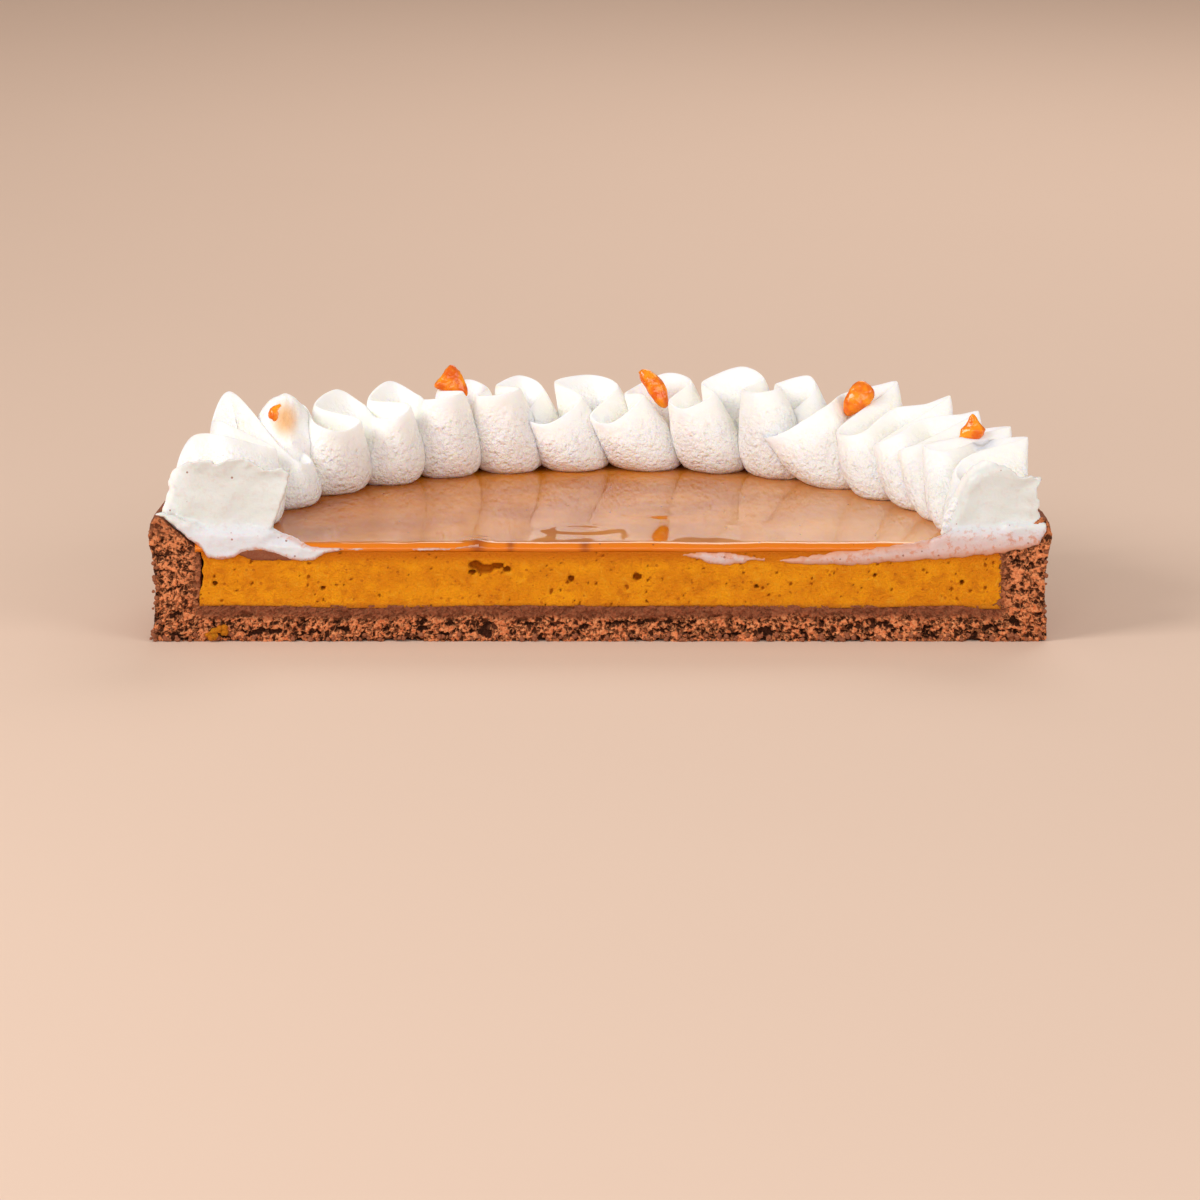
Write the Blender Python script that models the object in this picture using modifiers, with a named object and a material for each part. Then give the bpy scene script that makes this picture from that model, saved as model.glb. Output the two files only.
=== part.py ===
"""Half of a 200 mm pumpkin tart, cut straight across, as six kinds of real piece.

A cocoa shortcrust case holds a baked pumpkin custard under a clear amber glaze. A ribbon of
whipped cream is piped in folds along the rim, and five pieces of candied brittle stand in it.
Metres, +Z up. The cut face looks along -Y, and the origin is under the middle of the half's box.
"""

import math

import bmesh
import bpy
import numpy as np

for old in list(bpy.data.objects):
    bpy.data.objects.remove(old, do_unlink=True)

MM = 0.001
GAP = 0.3  # clearance between neighbouring pieces, mm

# Case (mm, measured from the tart's own centre, which lies on the cut plane)
R_TART = 100.0
R_INNER = 89.4  # inside of the wall at the custard
BASE_T = 8.2  # thickness of the baked base
WALL_TOP = 28.2  # outer edge of the sloping wall top
WALL_TOP_IN = 20.6  # inner edge of the sloping wall top
CUSTARD_TOP = 20.2
GLAZE_TOP = 22.5
GLAZE_ROUND = 2.0  # rounding of the glaze along the knife cut
STEPS = 96  # flats round the full turn

# Piped ribbon
FRONTS = (180, 166, 151, 139.5, 127.5, 116, 105, 94, 82.5, 71.5, 61, 49.5, 38.5, 28, 18.5, 9.3, 0)
FRONT_SWING = 0.50  # how far the ribbon runs back and forth along the ring, in pitches
BACK_SWING = 0.06
R_FRONT = 76.5  # where the folds' feet begin, nearest the middle
R_BACK = 96.0  # top edge of the ribbon at the outside
FOOT_HALF = 4.1  # half thickness near the foot of the ribbon
EDGE_HALF = 0.75  # half thickness along its top edge
DROOPS = ((6.72, 5.0), (7.72, 5.0), (10.7, 5.5))  # fold, and how far its left corner hangs down
VOXEL = 0.85

# The half's box is centred on the origin, so the tart's centre lies at the cut, at -CY
CY = 100.9 / 2


def material(name, rgb, rough, metallic=0.0, coat=0.0):
    made = bpy.data.materials.new(name)
    made.use_nodes = True
    shader = made.node_tree.nodes["Principled BSDF"]
    shader.inputs["Base Color"].default_value = (*rgb, 1)
    shader.inputs["Roughness"].default_value = rough
    shader.inputs["Metallic"].default_value = metallic
    shader.inputs["Coat Weight"].default_value = coat
    made.diffuse_color = (*rgb, 1)
    return made


COCOA = material("cocoa_shortcrust", (0.16, 0.055, 0.03), 0.85)
CUSTARD = material("pumpkin_custard", (0.62, 0.24, 0.02), 0.45)
AMBER = material("amber_glaze", (0.5, 0.2, 0.06), 0.12, coat=0.6)
CREAM = material("whipped_cream", (0.88, 0.84, 0.76), 0.6)
CANDY = material("candied_brittle", (0.75, 0.2, 0.02), 0.15, coat=0.5)

tart = bpy.data.collections.new("half_tart")
tools = bpy.data.collections.new("cutters")
for each in (tart, tools):
    bpy.context.scene.collection.children.link(each)
tools.hide_render = True


def piece(name, mesh, mat, cutter=False):
    obj = bpy.data.objects.new(name, mesh)
    (tools if cutter else tart).objects.link(obj)
    obj.location = (0, -CY * MM, 0)
    if mat:
        mesh.materials.append(mat)
    if cutter:
        obj.hide_render = True
        obj.display_type = "WIRE"
    return obj


def cut(obj, cutter, name="cut"):
    step = obj.modifiers.new(name, "BOOLEAN")
    step.operation = "DIFFERENCE"
    step.solver = "EXACT"
    step.object = cutter
    return step


def turned(name, profile, mat, cutter=False):
    """A profile of (radius, height) in mm, given down the outer side, turned round the tart's axis."""
    mesh = bpy.data.meshes.new(name)
    points = [(r * MM, 0.0, z * MM) for r, z in profile]
    mesh.from_pydata(points, [(i, i + 1) for i in range(len(points) - 1)], [])
    obj = piece(name, mesh, mat, cutter)
    # Half a flat round, so that the knife passes through the middle of a flat and not a corner
    obj.rotation_euler.z = math.pi / STEPS
    turn = obj.modifiers.new("turn", "SCREW")
    turn.angle = 2 * math.pi
    turn.steps = turn.render_steps = STEPS
    turn.use_merge_vertices = True
    turn.merge_threshold = 0.00001
    return obj


def block(name, outline, half_length):
    """A cutter with an outline of (y, z) in mm, drawn out along X."""
    mesh = bpy.data.meshes.new(name)
    work = bmesh.new()
    face = work.faces.new([work.verts.new((-half_length * MM, y * MM, z * MM)) for y, z in outline])
    grown = bmesh.ops.extrude_face_region(work, geom=[face])
    moved = [v for v in grown["geom"] if isinstance(v, bmesh.types.BMVert)]
    bmesh.ops.translate(work, vec=(2 * half_length * MM, 0, 0), verts=moved)
    bmesh.ops.recalc_face_normals(work, faces=work.faces[:])
    work.to_mesh(mesh)
    work.free()
    return piece(name, mesh, None, cutter=True)


def slope(r):
    """Height of the wall's sloping top at this radius, level with the custard inside it."""
    share = (r - R_INNER) / (R_TART - 1.3 - R_INNER)
    return WALL_TOP_IN + (WALL_TOP - WALL_TOP_IN) * min(max(share, 0.0), 1.0)


knife = block("knife", [(-130, -20), (0, -20), (0, 80), (-130, 80)], 130)

crust = turned(
    "crust",
    [
        (0, BASE_T),
        (84.0, BASE_T),
        (R_INNER - 0.6, BASE_T + 0.25),
        (R_INNER, BASE_T + 0.9),
        (R_INNER, WALL_TOP_IN - 0.5),
        (R_INNER + 0.5, WALL_TOP_IN + 0.2),
        (R_TART - 2.4, WALL_TOP - 0.9),
        (R_TART - 1.3, WALL_TOP),
        (R_TART, WALL_TOP - 0.5),
        (R_TART + 0.8, WALL_TOP - 2.3),
        (R_TART + 0.9, 23.8),
        (R_TART + 0.1, 19.5),
        (R_TART - 0.5, 14.0),
        (R_TART - 0.2, 7.0),
        (R_TART + 0.4, 1.6),
        (R_TART + 0.2, 0.4),
        (R_TART - 0.4, 0),
        (0, 0),
    ][::-1],
    COCOA,
)
filling = turned(
    "filling",
    [
        (0, CUSTARD_TOP),
        (R_INNER - GAP, CUSTARD_TOP),
        (R_INNER - GAP, BASE_T + 1.15),
        (R_INNER - GAP - 0.5, BASE_T + GAP + 0.3),
        (83.7, BASE_T + GAP),
        (0, BASE_T + GAP),
    ],
    CUSTARD,
)
glaze = turned(
    "glaze",
    [
        (0, GLAZE_TOP),
        (88.0, GLAZE_TOP),
        (R_INNER + 0.9, GLAZE_TOP - 0.1),
        (R_INNER + 0.2, GLAZE_TOP - 0.9),
        (R_INNER - GAP, CUSTARD_TOP + GAP + 0.2),
        (R_INNER - GAP - 0.2, CUSTARD_TOP + GAP),
        (0, CUSTARD_TOP + GAP),
    ],
    AMBER,
)
cut(crust, knife)
cut(filling, knife)
quarter = [
    (GLAZE_ROUND * (1 - math.cos(a)), GLAZE_TOP - GLAZE_ROUND * (1 - math.sin(a)))
    for a in np.radians(np.linspace(8, 90, 6))
]
round_edge = block("round_edge", [(-130, -20), (0, -20), *quarter, (GLAZE_ROUND, 80), (-130, 80)], 130)
cut(glaze, round_edge)


# --- The piped ribbon -------------------------------------------------------------------------
def bump(u, at, width):
    return math.exp(-(((u - at) / width) ** 2))


def ribbon_at(u):
    """Foot (r, degrees, z), edge (r, degrees, z) and pitch in degrees where u counts the folds."""
    turn = 2 * math.pi * u
    middle = float(np.interp(u, range(len(FRONTS)), FRONTS))
    if u < 0 or u > len(FRONTS) - 1:
        middle = 180 - 12 * u if u < 0 else -10 * (u - len(FRONTS) + 1)
    pitch = 11.2
    swing = -pitch * (FRONT_SWING / 2 * math.sin(2 * turn) + BACK_SWING * math.cos(turn))
    back = (1 - math.cos(turn)) / 2
    inner = R_FRONT + 2.6 * bump(u, 9.3, 1.4) - 2.5 * bump(u, 1.0, 0.8) - 1.2 * bump(u, 3.4, 1.2)
    foot_r = inner + FOOT_HALF + back * (91.0 - inner - FOOT_HALF)
    edge_r = inner + 5.2 + back * (R_BACK - inner - 5.2)
    edge_z = 40.2 + 1.2 * bump(u, 5.5, 0.9) + back * 2.4
    edge_z += 1.6 * bump(u, 9.6, 1.0) + 1.0 * bump(u, 11.6, 0.9) + 4.0 * bump(u, 2.3, 0.3)
    for at, drop in DROOPS:
        edge_z -= drop * bump(u, at, 0.2)
    return foot_r, middle + 0.85 * swing, edge_r, middle + swing * 1.1, edge_z


def flat_point(r, degrees):
    return np.array([r * math.cos(math.radians(degrees)), r * math.sin(math.radians(degrees))])


# Share of the height, and share of the foot's half thickness there
LEVELS = (
    (0.0, 0.5), (0.05, 0.8), (0.14, 1.0), (0.28, 1.0), (0.45, 0.88),
    (0.64, 0.68), (0.82, 0.42), (0.94, 0.24), (1.0, 0.1),
)
SAMPLES = 26  # cross sections a fold

raw = bmesh.new()
loops = []
us = np.linspace(-0.45, len(FRONTS) - 0.55, int((len(FRONTS) - 0.1) * SAMPLES))
for u in us:
    here, after = ribbon_at(u), ribbon_at(u + 1e-3)
    foot, edge = flat_point(here[0], here[1]), flat_point(here[2], here[3])
    along = (flat_point(after[0], after[1]) - foot) + (flat_point(after[2], after[3]) - edge)
    side = np.array([along[1], -along[0]]) / np.linalg.norm(along)
    low = max(GLAZE_TOP, slope(here[0])) - 1.2
    left, right = [], []
    for share, wide in LEVELS:
        centre = foot + (edge - foot) * (share ** 1.25)
        half = max(FOOT_HALF * wide, EDGE_HALF if share < 1 else 0.4)
        z = low + (here[4] - low) * share
        for at, sign in ((left, 1), (right, -1)):
            at.append(raw.verts.new((*((centre + sign * half * side) * MM), z * MM)))
    loops.append(left + right[::-1])
for one, two in zip(loops, loops[1:]):
    for i in range(len(one)):
        j = (i + 1) % len(one)
        raw.faces.new((one[i], one[j], two[j], two[i]))
raw.faces.new(loops[0][::-1])
raw.faces.new(loops[-1])

# A low ring of cream under the folds, where their feet have run together
ring = []
for degrees in np.linspace(-6, 186, 90):
    section = [(83, 21), (92.5, 21), (93.5, 25), (91.5, 29), (87, 31), (84, 28.5), (82.3, 25)]
    ring.append([raw.verts.new((*(flat_point(r, degrees) * MM), z * MM)) for r, z in section])
for one, two in zip(ring, ring[1:]):
    for i in range(len(one)):
        j = (i + 1) % len(one)
        raw.faces.new((one[i], one[j], two[j], two[i]))
raw.faces.new(ring[0][::-1])
raw.faces.new(ring[-1])

# The two ends, pressed smooth by the knife: outlines (x, z) on the cut, thinning out behind it
LEFT_END = [(-72.8, 21), (-97.0, 21), (-98.2, 28.5), (-97.2, 33.5), (-95.6, 38.2), (-90.5, 41.2), (-87.0, 41.2),
            (-79.5, 41.6), (-76.5, 40.2), (-69.9, 38.6), (-69.9, 35.4), (-72.0, 29.0), (-72.8, 25.0)]
RIGHT_END = [(98.0, 21), (77.4, 21), (78.6, 29.5), (80.1, 34.8), (82.6, 38.4), (85.4, 40.4), (90.1, 40.0),
             (93.4, 38.4), (98.2, 37.9), (97.6, 34.5), (98.3, 31.0), (98.3, 27.3)]
for outline in (LEFT_END, RIGHT_END):
    middle = np.mean(outline, axis=0)
    bands = []
    for y, size in ((-2.0, 1.0), (3.0, 0.99), (6.5, 0.92), (10.0, 0.72), (12.5, 0.35)):
        spots = middle + (np.array(outline) - middle) * size
        bands.append([raw.verts.new((x * MM, y * MM, z * MM)) for x, z in spots])
    for one, two in zip(bands, bands[1:]):
        for i in range(len(one)):
            j = (i + 1) % len(one)
            raw.faces.new((one[i], one[j], two[j], two[i]))
    raw.faces.new(bands[0][::-1])
    raw.faces.new(bands[-1])
bmesh.ops.recalc_face_normals(raw, faces=raw.faces[:])
cream_mesh = bpy.data.meshes.new("whipped_cream")
raw.to_mesh(cream_mesh)
raw.free()
cream = piece("whipped_cream", cream_mesh, CREAM)
fuse = cream.modifiers.new("fuse", "REMESH")
fuse.mode = "VOXEL"
fuse.voxel_size = VOXEL * MM
fuse.adaptivity = 0.0
soften = cream.modifiers.new("soften", "SMOOTH")
soften.factor = 0.5
soften.iterations = 2
thin = cream.modifiers.new("thin", "DECIMATE")
thin.ratio = 0.055

# Everything below the cream: the case and the glaze, grown by the clearance
support = turned(
    "support",
    [
        (0, GLAZE_TOP + GAP),
        (R_INNER + 2.2, GLAZE_TOP + GAP),
        (R_TART - 2.6, WALL_TOP - 0.9 + GAP + 0.1),
        (R_TART - 1.4, WALL_TOP + GAP + 0.15),
        (R_TART + 1.5, WALL_TOP + GAP - 0.1),
        (R_TART + 6.0, WALL_TOP - 1.0),
        (R_TART + 6.0, 5),
        (0, 5),
    ],
    None,
    cutter=True,
)
cut(cream, support, "rest on the tart")
cut(cream, knife, "knife")

# --- Candied pieces, each a flat chip with soft edges --------------------------------------------
# name: place (r, degrees, z), lean (back, turn in degrees), thickness, outline (x, z) seen from the cut
CHIPS = {
    "candied_piece_1": ((88.0, 146.8, 42.2), (15, 25), 2.8,
                        [(-3.2, 0.2), (-1.2, 2.6), (1.6, 2.2), (3.2, 0.0), (2.0, -2.6), (-1.4, -2.8)]),
    "candied_piece_2": ((87.5, 113.6, 43.7), (18, 12), 2.6,
                        [(-4.7, -0.9), (-1.5, 1.0), (-1.4, 2.6), (0.4, 4.1), (2.0, 3.0), (3.5, -0.6),
                         (3.8, -4.0), (2.2, -2.8), (-1.0, -2.2)]),
    "candied_piece_3": ((87.0, 81.9, 40.4), (12, -8), 2.6,
                        [(-3.9, 4.6), (-0.9, 4.9), (2.6, 2.2), (3.9, -1.6), (3.6, -4.9), (0.8, -2.4), (-1.8, 1.2)]),
    "candied_piece_4": ((89.0, 47.4, 42.4), (16, -15), 3.0,
                        [(-2.6, 2.6), (0.0, 4.6), (2.6, 3.2), (3.9, 0.8), (0.6, -2.4), (-3.2, -4.6), (-3.6, -1.6)]),
    "candied_piece_5": ((91.0, 21.5, 41.9), (14, -20), 2.8,
                        [(-1.0, 3.6), (1.0, 3.4), (3.4, 0.2), (2.2, -2.2), (-2.4, -3.4), (-3.0, -2.0)]),
}


def chip_mesh(name, outline, thick, grow=0.0):
    """Three copies of the outline, the middle one widest, ready for one subdivision."""
    mesh = bpy.data.meshes.new(name)
    work = bmesh.new()
    spots = np.array(outline)
    middle = spots.mean(axis=0)
    reach = np.linalg.norm(spots - middle, axis=1, keepdims=True)
    spots = middle + (spots - middle) * (1.12 + grow / reach)
    bands = []
    for depth, size in ((-0.5, 0.8), (0.0, 1.0), (0.5, 0.76)):
        y = depth * (thick * 1.15 + 2 * grow)
        ringed = middle + (spots - middle) * size
        bands.append([work.verts.new((x * MM, y * MM, z * MM)) for x, z in ringed])
    for one, two in zip(bands, bands[1:]):
        for i in range(len(one)):
            j = (i + 1) % len(one)
            work.faces.new((one[i], one[j], two[j], two[i]))
    work.faces.new(bands[0][::-1])
    work.faces.new(bands[-1])
    bmesh.ops.recalc_face_normals(work, faces=work.faces[:])
    work.to_mesh(mesh)
    work.free()
    return mesh


def place_chip(obj, spot, lean):
    x, y = flat_point(spot[0], spot[1])
    obj.location = (x * MM, (y - CY) * MM, spot[2] * MM)
    obj.rotation_euler = (math.radians(-lean[0]), 0, math.radians(lean[1]))
    soft = obj.modifiers.new("soft", "SUBSURF")
    soft.levels = soft.render_levels = 1


for name, (spot, lean, thick, outline) in CHIPS.items():
    chip = piece(name, chip_mesh(name, outline, thick), CANDY)
    place_chip(chip, spot, lean)
    pocket = piece(name + "_pocket", chip_mesh(name + "_pocket", outline, thick, grow=0.55), None, cutter=True)
    place_chip(pocket, spot, lean)
    cut(cream, pocket, name)

for obj in tart.objects:
    obj.data.shade_smooth()
    obj.data.set_sharp_from_angle(angle=math.radians(40))
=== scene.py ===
# %% [markdown]
# # Half a pumpkin tart with a piped cream border
# The tart is a straight-sided cocoa shortcrust case, a layer of baked pumpkin custard and a clear
# amber glaze, cut across so that every layer shows. Whipped cream runs round the rim as one folded
# ribbon, and chips of candied brittle stand in it. The solids that carry weight come from the CAD
# model, which is loaded first. Everything below gives them their real surfaces.

# %% Load the frame
import math

import bmesh
import bpy
import numpy as np
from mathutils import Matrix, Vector, noise


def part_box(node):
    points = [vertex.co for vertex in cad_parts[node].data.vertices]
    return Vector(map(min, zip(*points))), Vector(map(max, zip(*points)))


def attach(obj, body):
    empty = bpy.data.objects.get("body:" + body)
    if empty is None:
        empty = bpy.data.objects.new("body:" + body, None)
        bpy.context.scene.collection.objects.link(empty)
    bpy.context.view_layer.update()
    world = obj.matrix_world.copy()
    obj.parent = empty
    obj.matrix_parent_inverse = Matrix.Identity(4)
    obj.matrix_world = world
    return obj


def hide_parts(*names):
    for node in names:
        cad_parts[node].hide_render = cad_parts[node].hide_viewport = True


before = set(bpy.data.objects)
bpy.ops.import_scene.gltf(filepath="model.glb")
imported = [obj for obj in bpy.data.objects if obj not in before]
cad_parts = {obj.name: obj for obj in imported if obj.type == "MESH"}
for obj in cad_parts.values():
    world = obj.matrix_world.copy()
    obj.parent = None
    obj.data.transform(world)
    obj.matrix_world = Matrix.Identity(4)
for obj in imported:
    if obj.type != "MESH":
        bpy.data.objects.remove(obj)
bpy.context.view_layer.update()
MM = 0.001
CUT_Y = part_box("crust")[0].y / MM  # the knife's plane
BASE_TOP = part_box("filling")[0].z / MM - 0.3
CUSTARD_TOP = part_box("filling")[1].z / MM
GLAZE_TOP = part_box("glaze")[1].z / MM

# %% [markdown]
# ## Camera, floor and light
# A long lens from some way back keeps the two ends of the cut the same size. Soft light comes from
# four large area lamps: one above on the left, weaker ones on the right and in front, and one behind
# that draws a bright edge on the cream.

# %% Camera
scene = bpy.context.scene
TART_Y = CUT_Y * MM  # the round tart's centre lies on the cut
AIM_HEIGHT, STAND_BACK, EYE_HEIGHT = 0.00955, 1.5602, 0.364


def put(name, data):
    """A new object in the scene, at the origin."""
    obj = bpy.data.objects.new(name, data)
    scene.collection.objects.link(obj)
    return obj


def aim(obj, place, target):
    obj.location = place
    obj.rotation_euler = (Vector(target) - Vector(place)).to_track_quat("-Z", "Y").to_euler()


camera = put("camera", bpy.data.cameras.new("camera"))
look_at = Vector((0, TART_Y, AIM_HEIGHT))
aim(camera, (0, TART_Y - STAND_BACK, EYE_HEIGHT), look_at)
camera.data.lens = 214.3
camera.data.clip_end = 50
scene.camera = camera
scene.view_settings.view_transform = "Standard"  # keeps the custard's strong orange as it is
print("camera is", round((camera.location - look_at).length, 3), "m away")


# %% Lamps and sky
def lamp(name, place, target, size, watts, colour):
    light = put(name, bpy.data.lights.new(name, "AREA"))
    aim(light, place, target)
    light.data.shape = "RECTANGLE"
    light.data.size, light.data.size_y = size
    light.data.energy = watts
    light.data.color = colour


lamp("key_left", (-0.75, -0.45, 0.6), (0, 0, 0.02), (0.45, 0.45), 6.2, (0.985, 0.975, 0.96))
lamp("fill_right", (0.9, -0.7, 0.55), (0, 0, 0.02), (0.7, 0.7), 4.3, (0.985, 0.97, 0.955))
lamp("front_soft", (0.0, -1.3, 0.45), (0, 0, 0.02), (0.9, 0.5), 4.1, (0.99, 0.97, 0.95))
lamp("back_rim", (0.25, 0.75, 0.6), (0, 0, 0.03), (0.7, 0.4), 2.6, (1.0, 0.98, 0.95))
world = bpy.data.worlds.new("studio")
scene.world = world
scene.cycles.diffuse_bounces = 8  # white cream lights its own creases
world.use_nodes = True
world.node_tree.nodes["Background"].inputs["Color"].default_value = (0.93, 0.875, 0.82, 1)
world.node_tree.nodes["Background"].inputs["Strength"].default_value = 0.47

# %% [markdown]
# ## Sums in node trees
# A material or a geometry tree soon holds dozens of Math nodes. `Wire` wraps one socket and gives it
# Python's operators, so `1 - mask * 0.5` adds the nodes itself.


# %% Wire
class Wire:
    """One socket of a node tree. Arithmetic on it adds Math nodes."""

    def __init__(self, bench, socket):
        self.bench, self.socket = bench, socket

    def math(self, operation, *others, clamp=False):
        settings = {"operation": operation, "use_clamp": clamp}
        node = self.bench.add("ShaderNodeMath", settings, dict(enumerate((self, *others))))
        return Wire(self.bench, node.outputs[0])

    def __add__(self, other):
        return self.math("ADD", other)

    def __mul__(self, other):
        return self.math("MULTIPLY", other)

    def __sub__(self, other):
        return self.math("SUBTRACT", other)

    def __truediv__(self, other):
        return self.math("DIVIDE", other)

    def __rsub__(self, other):
        return self.math("MULTIPLY_ADD", -1.0, other)

    def __rtruediv__(self, other):
        return self.math("POWER", -1.0) * other

    __radd__, __rmul__ = __add__, __mul__

    def between(self, low, high):
        """0 below low, 1 above high, and a soft step from one to the other."""
        settings = {"interpolation_type": "SMOOTHSTEP"}
        node = self.bench.add("ShaderNodeMapRange", settings, {0: self, 1: low, 2: high})
        return Wire(self.bench, node.outputs[0])


print("operators on a wire:", [n for n in vars(Wire) if n.startswith("__r") or n in ("__add__", "__mul__")])

# %% [markdown]
# `Bench` wraps a tree and makes any other node with one call. The nodes that come up again and again,
# such as noise, cells, a mixed colour or a moved mesh, have a short method of their own.


# %% Bench
class Bench:
    """A node tree, with one method for any node."""

    splitter = "FunctionNodeSeparateColor"  # a shader tree has its own

    def __init__(self, tree):
        self.tree = tree

    def add(self, kind, settings=None, inputs=None):
        node = self.tree.nodes.new(kind)
        for name, value in (settings or {}).items():
            if name == "stops":
                ramp = node.color_ramp.elements
                while len(ramp) < len(value):
                    ramp.new(0.5)
                for element, (at, colour) in zip(ramp, value):
                    element.position, element.color = at, (*colour, 1)
            elif name == "curve":
                line = node.mapping.curves[0].points
                while len(line) < len(value):
                    line.new(0.5, 0.5)
                for point, spot in zip(line, value):
                    point.location = spot
                node.mapping.update()
            else:
                setattr(node, name, value)
        for key, value in (inputs or {}).items():
            self.feed(node.inputs[key], value)
        return node

    def feed(self, socket, value):
        if isinstance(value, Wire):
            self.tree.links.new(value.socket, socket)
        elif isinstance(value, bpy.types.NodeSocket):
            self.tree.links.new(value, socket)
        else:
            socket.default_value = value

    def wire(self, kind, settings=None, inputs=None, out=0):
        return Wire(self, self.add(kind, settings, inputs).outputs[out])

    def mix(self, share, a, b, blend="MIX"):
        """Two colours mixed by a share from 0 to 1."""
        settings = {"data_type": "RGBA", "blend_type": blend}
        colours = [(*c, 1) if isinstance(c, tuple) else c for c in (a, b)]
        node = self.add("ShaderNodeMix", settings, {0: share, 6: colours[0], 7: colours[1]})
        return Wire(self, node.outputs[2])

    def noise(self, place, scale, detail=2.0, rough=0.5, warp=0.0):
        return self.wire(
            "ShaderNodeTexNoise",
            None,
            {"Vector": place, "Scale": scale, "Detail": detail, "Roughness": rough, "Distortion": warp},
        )

    def cells(self, place, scale, feature="F1", out=0):
        return self.wire("ShaderNodeTexVoronoi", {"feature": feature}, {"Vector": place, "Scale": scale}, out)

    def chance(self, place, scale):
        """A random number from 0 to 1 for each cell."""
        return self.wire(self.splitter, None, {0: self.cells(place, scale, out=1)})

    def vector(self, operation, *values):
        return self.add("ShaderNodeVectorMath", {"operation": operation}, dict(enumerate(values))).outputs[0]

    def scaled(self, value, size):
        return self.add("ShaderNodeVectorMath", {"operation": "SCALE"}, {0: value, "Scale": size}).outputs[0]

    def warped(self, place, scale, by):
        """A place bent to and fro by coloured noise."""
        sway = self.add("ShaderNodeTexNoise", None, {"Vector": place, "Scale": scale, "Detail": 2.0})
        return self.vector("MULTIPLY_ADD", sway.outputs["Color"], by, place)

    def named(self, name):
        """A number that the mesh has stored, read in a geometry tree."""
        return self.wire("GeometryNodeInputNamedAttribute", {"data_type": "FLOAT"}, {"Name": name})

    def store(self, geometry, name, value):
        settings = {"data_type": "FLOAT", "domain": "POINT"}
        inputs = {"Geometry": geometry, "Name": name, "Value": value}
        return self.add("GeometryNodeStoreNamedAttribute", settings, inputs).outputs[0]

    def moved(self, geometry, key, value):
        """Sets the points' Position, or moves them by an Offset."""
        return self.add("GeometryNodeSetPosition", None, {"Geometry": geometry, key: value}).outputs[0]


print("short methods:", [n for n in vars(Bench) if not n.startswith("_")])

# %% [markdown]
# ## A finish
# Each food gets one material. `Finish` makes it with a Principled shader, sets the numbers that are
# the same all over on the shader's own sockets, and offers the object's place in millimetres, which
# makes the pattern sizes below easy to read.


# %% Finish
class Finish(Bench):
    """A material with its Principled shader, and the place on the object in mm."""

    splitter = "ShaderNodeSeparateColor"

    def __init__(self, name, **constants):
        self.material = bpy.data.materials.new(name)
        self.material.use_nodes = True
        super().__init__(self.material.node_tree)
        self.shader = self.tree.nodes["Principled BSDF"]
        for key, value in constants.items():
            self.shader.inputs[key.replace("_", " ")].default_value = value
        where = self.add("ShaderNodeTexCoord").outputs["Object"]
        self.place = self.scaled(where, 1000.0)
        apart = self.add("ShaderNodeSeparateXYZ", None, {0: self.place})
        self.x, self.y, self.z = (Wire(self, apart.outputs[i]) for i in range(3))

    def attribute(self, name):
        return self.wire("ShaderNodeAttribute", {"attribute_name": name}, None, 2)

    def flecks(self, scale, rarity, size, softness=0.03):
        """Round specks of unlike size, in the cells whose random number is above the rarity."""
        gap = self.cells(self.place, scale) - self.chance(self.place, scale).between(rarity, 1.0) * size
        return 1 - gap.between(0.0, softness)

    def paint(self, colour, rough=None, bump=None, height=0.1):
        self.feed(self.shader.inputs["Base Color"], colour)
        if rough is not None:
            self.feed(self.shader.inputs["Roughness"], rough)
        if bump is not None:
            made = self.add(
                "ShaderNodeBump", None, {"Strength": 1.0, "Distance": height * MM, "Height": bump}
            )
            self.feed(self.shader.inputs["Normal"], made.outputs[0])


print("a finish is a kind of", Finish.__mro__[1].__name__)

# %% [markdown]
# ### Crumb pattern
# Cut shortcrust is a web of strands round small hollows, with a few big hollows between. Cells give
# the web: near a cell's border is a strand, and its middle is a hollow if a random number says so.
# Stretched noise gives the big hollows, which are more frequent low in the base. The finish and the
# geometry tree both use this one function, so that colour and relief agree. It ignores the depth,
# because the relief moves points in depth and must not move the pattern.


# %% Crumb pattern
HOLLOWS = ((0.95, 0.52), (1.9, 0.45))  # cells a millimetre, and the share of them that stay closed


def crumb_hollows(bench, spot):
    """How hollow each spot of a cut crumb is, for small and for big hollows."""
    bent = bench.warped(bench.vector("MULTIPLY", spot, (1, 0, 1)), 0.9, (1.9, 0, 1.9))
    coarse, fine = (
        bench.cells(bent, scale, "DISTANCE_TO_EDGE").between(0.05, 0.2)
        * bench.chance(bent, scale).between(closed, closed + 0.12)
        for scale, closed in HOLLOWS
    )
    low = bench.wire("ShaderNodeSeparateXYZ", None, {0: spot}, 2).between(7.0, 4.0)
    long = bench.vector("MULTIPLY", bent, (0.55, 0, 1.25))
    big = (bench.noise(long, 0.4, 3.0, 0.6) + low * 0.04).between(0.59, 0.63)
    return coarse.math("MAXIMUM", fine * 0.7), big


print("hollows, mm across:", [round(1 / scale, 1) for scale, _ in HOLLOWS])
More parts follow.
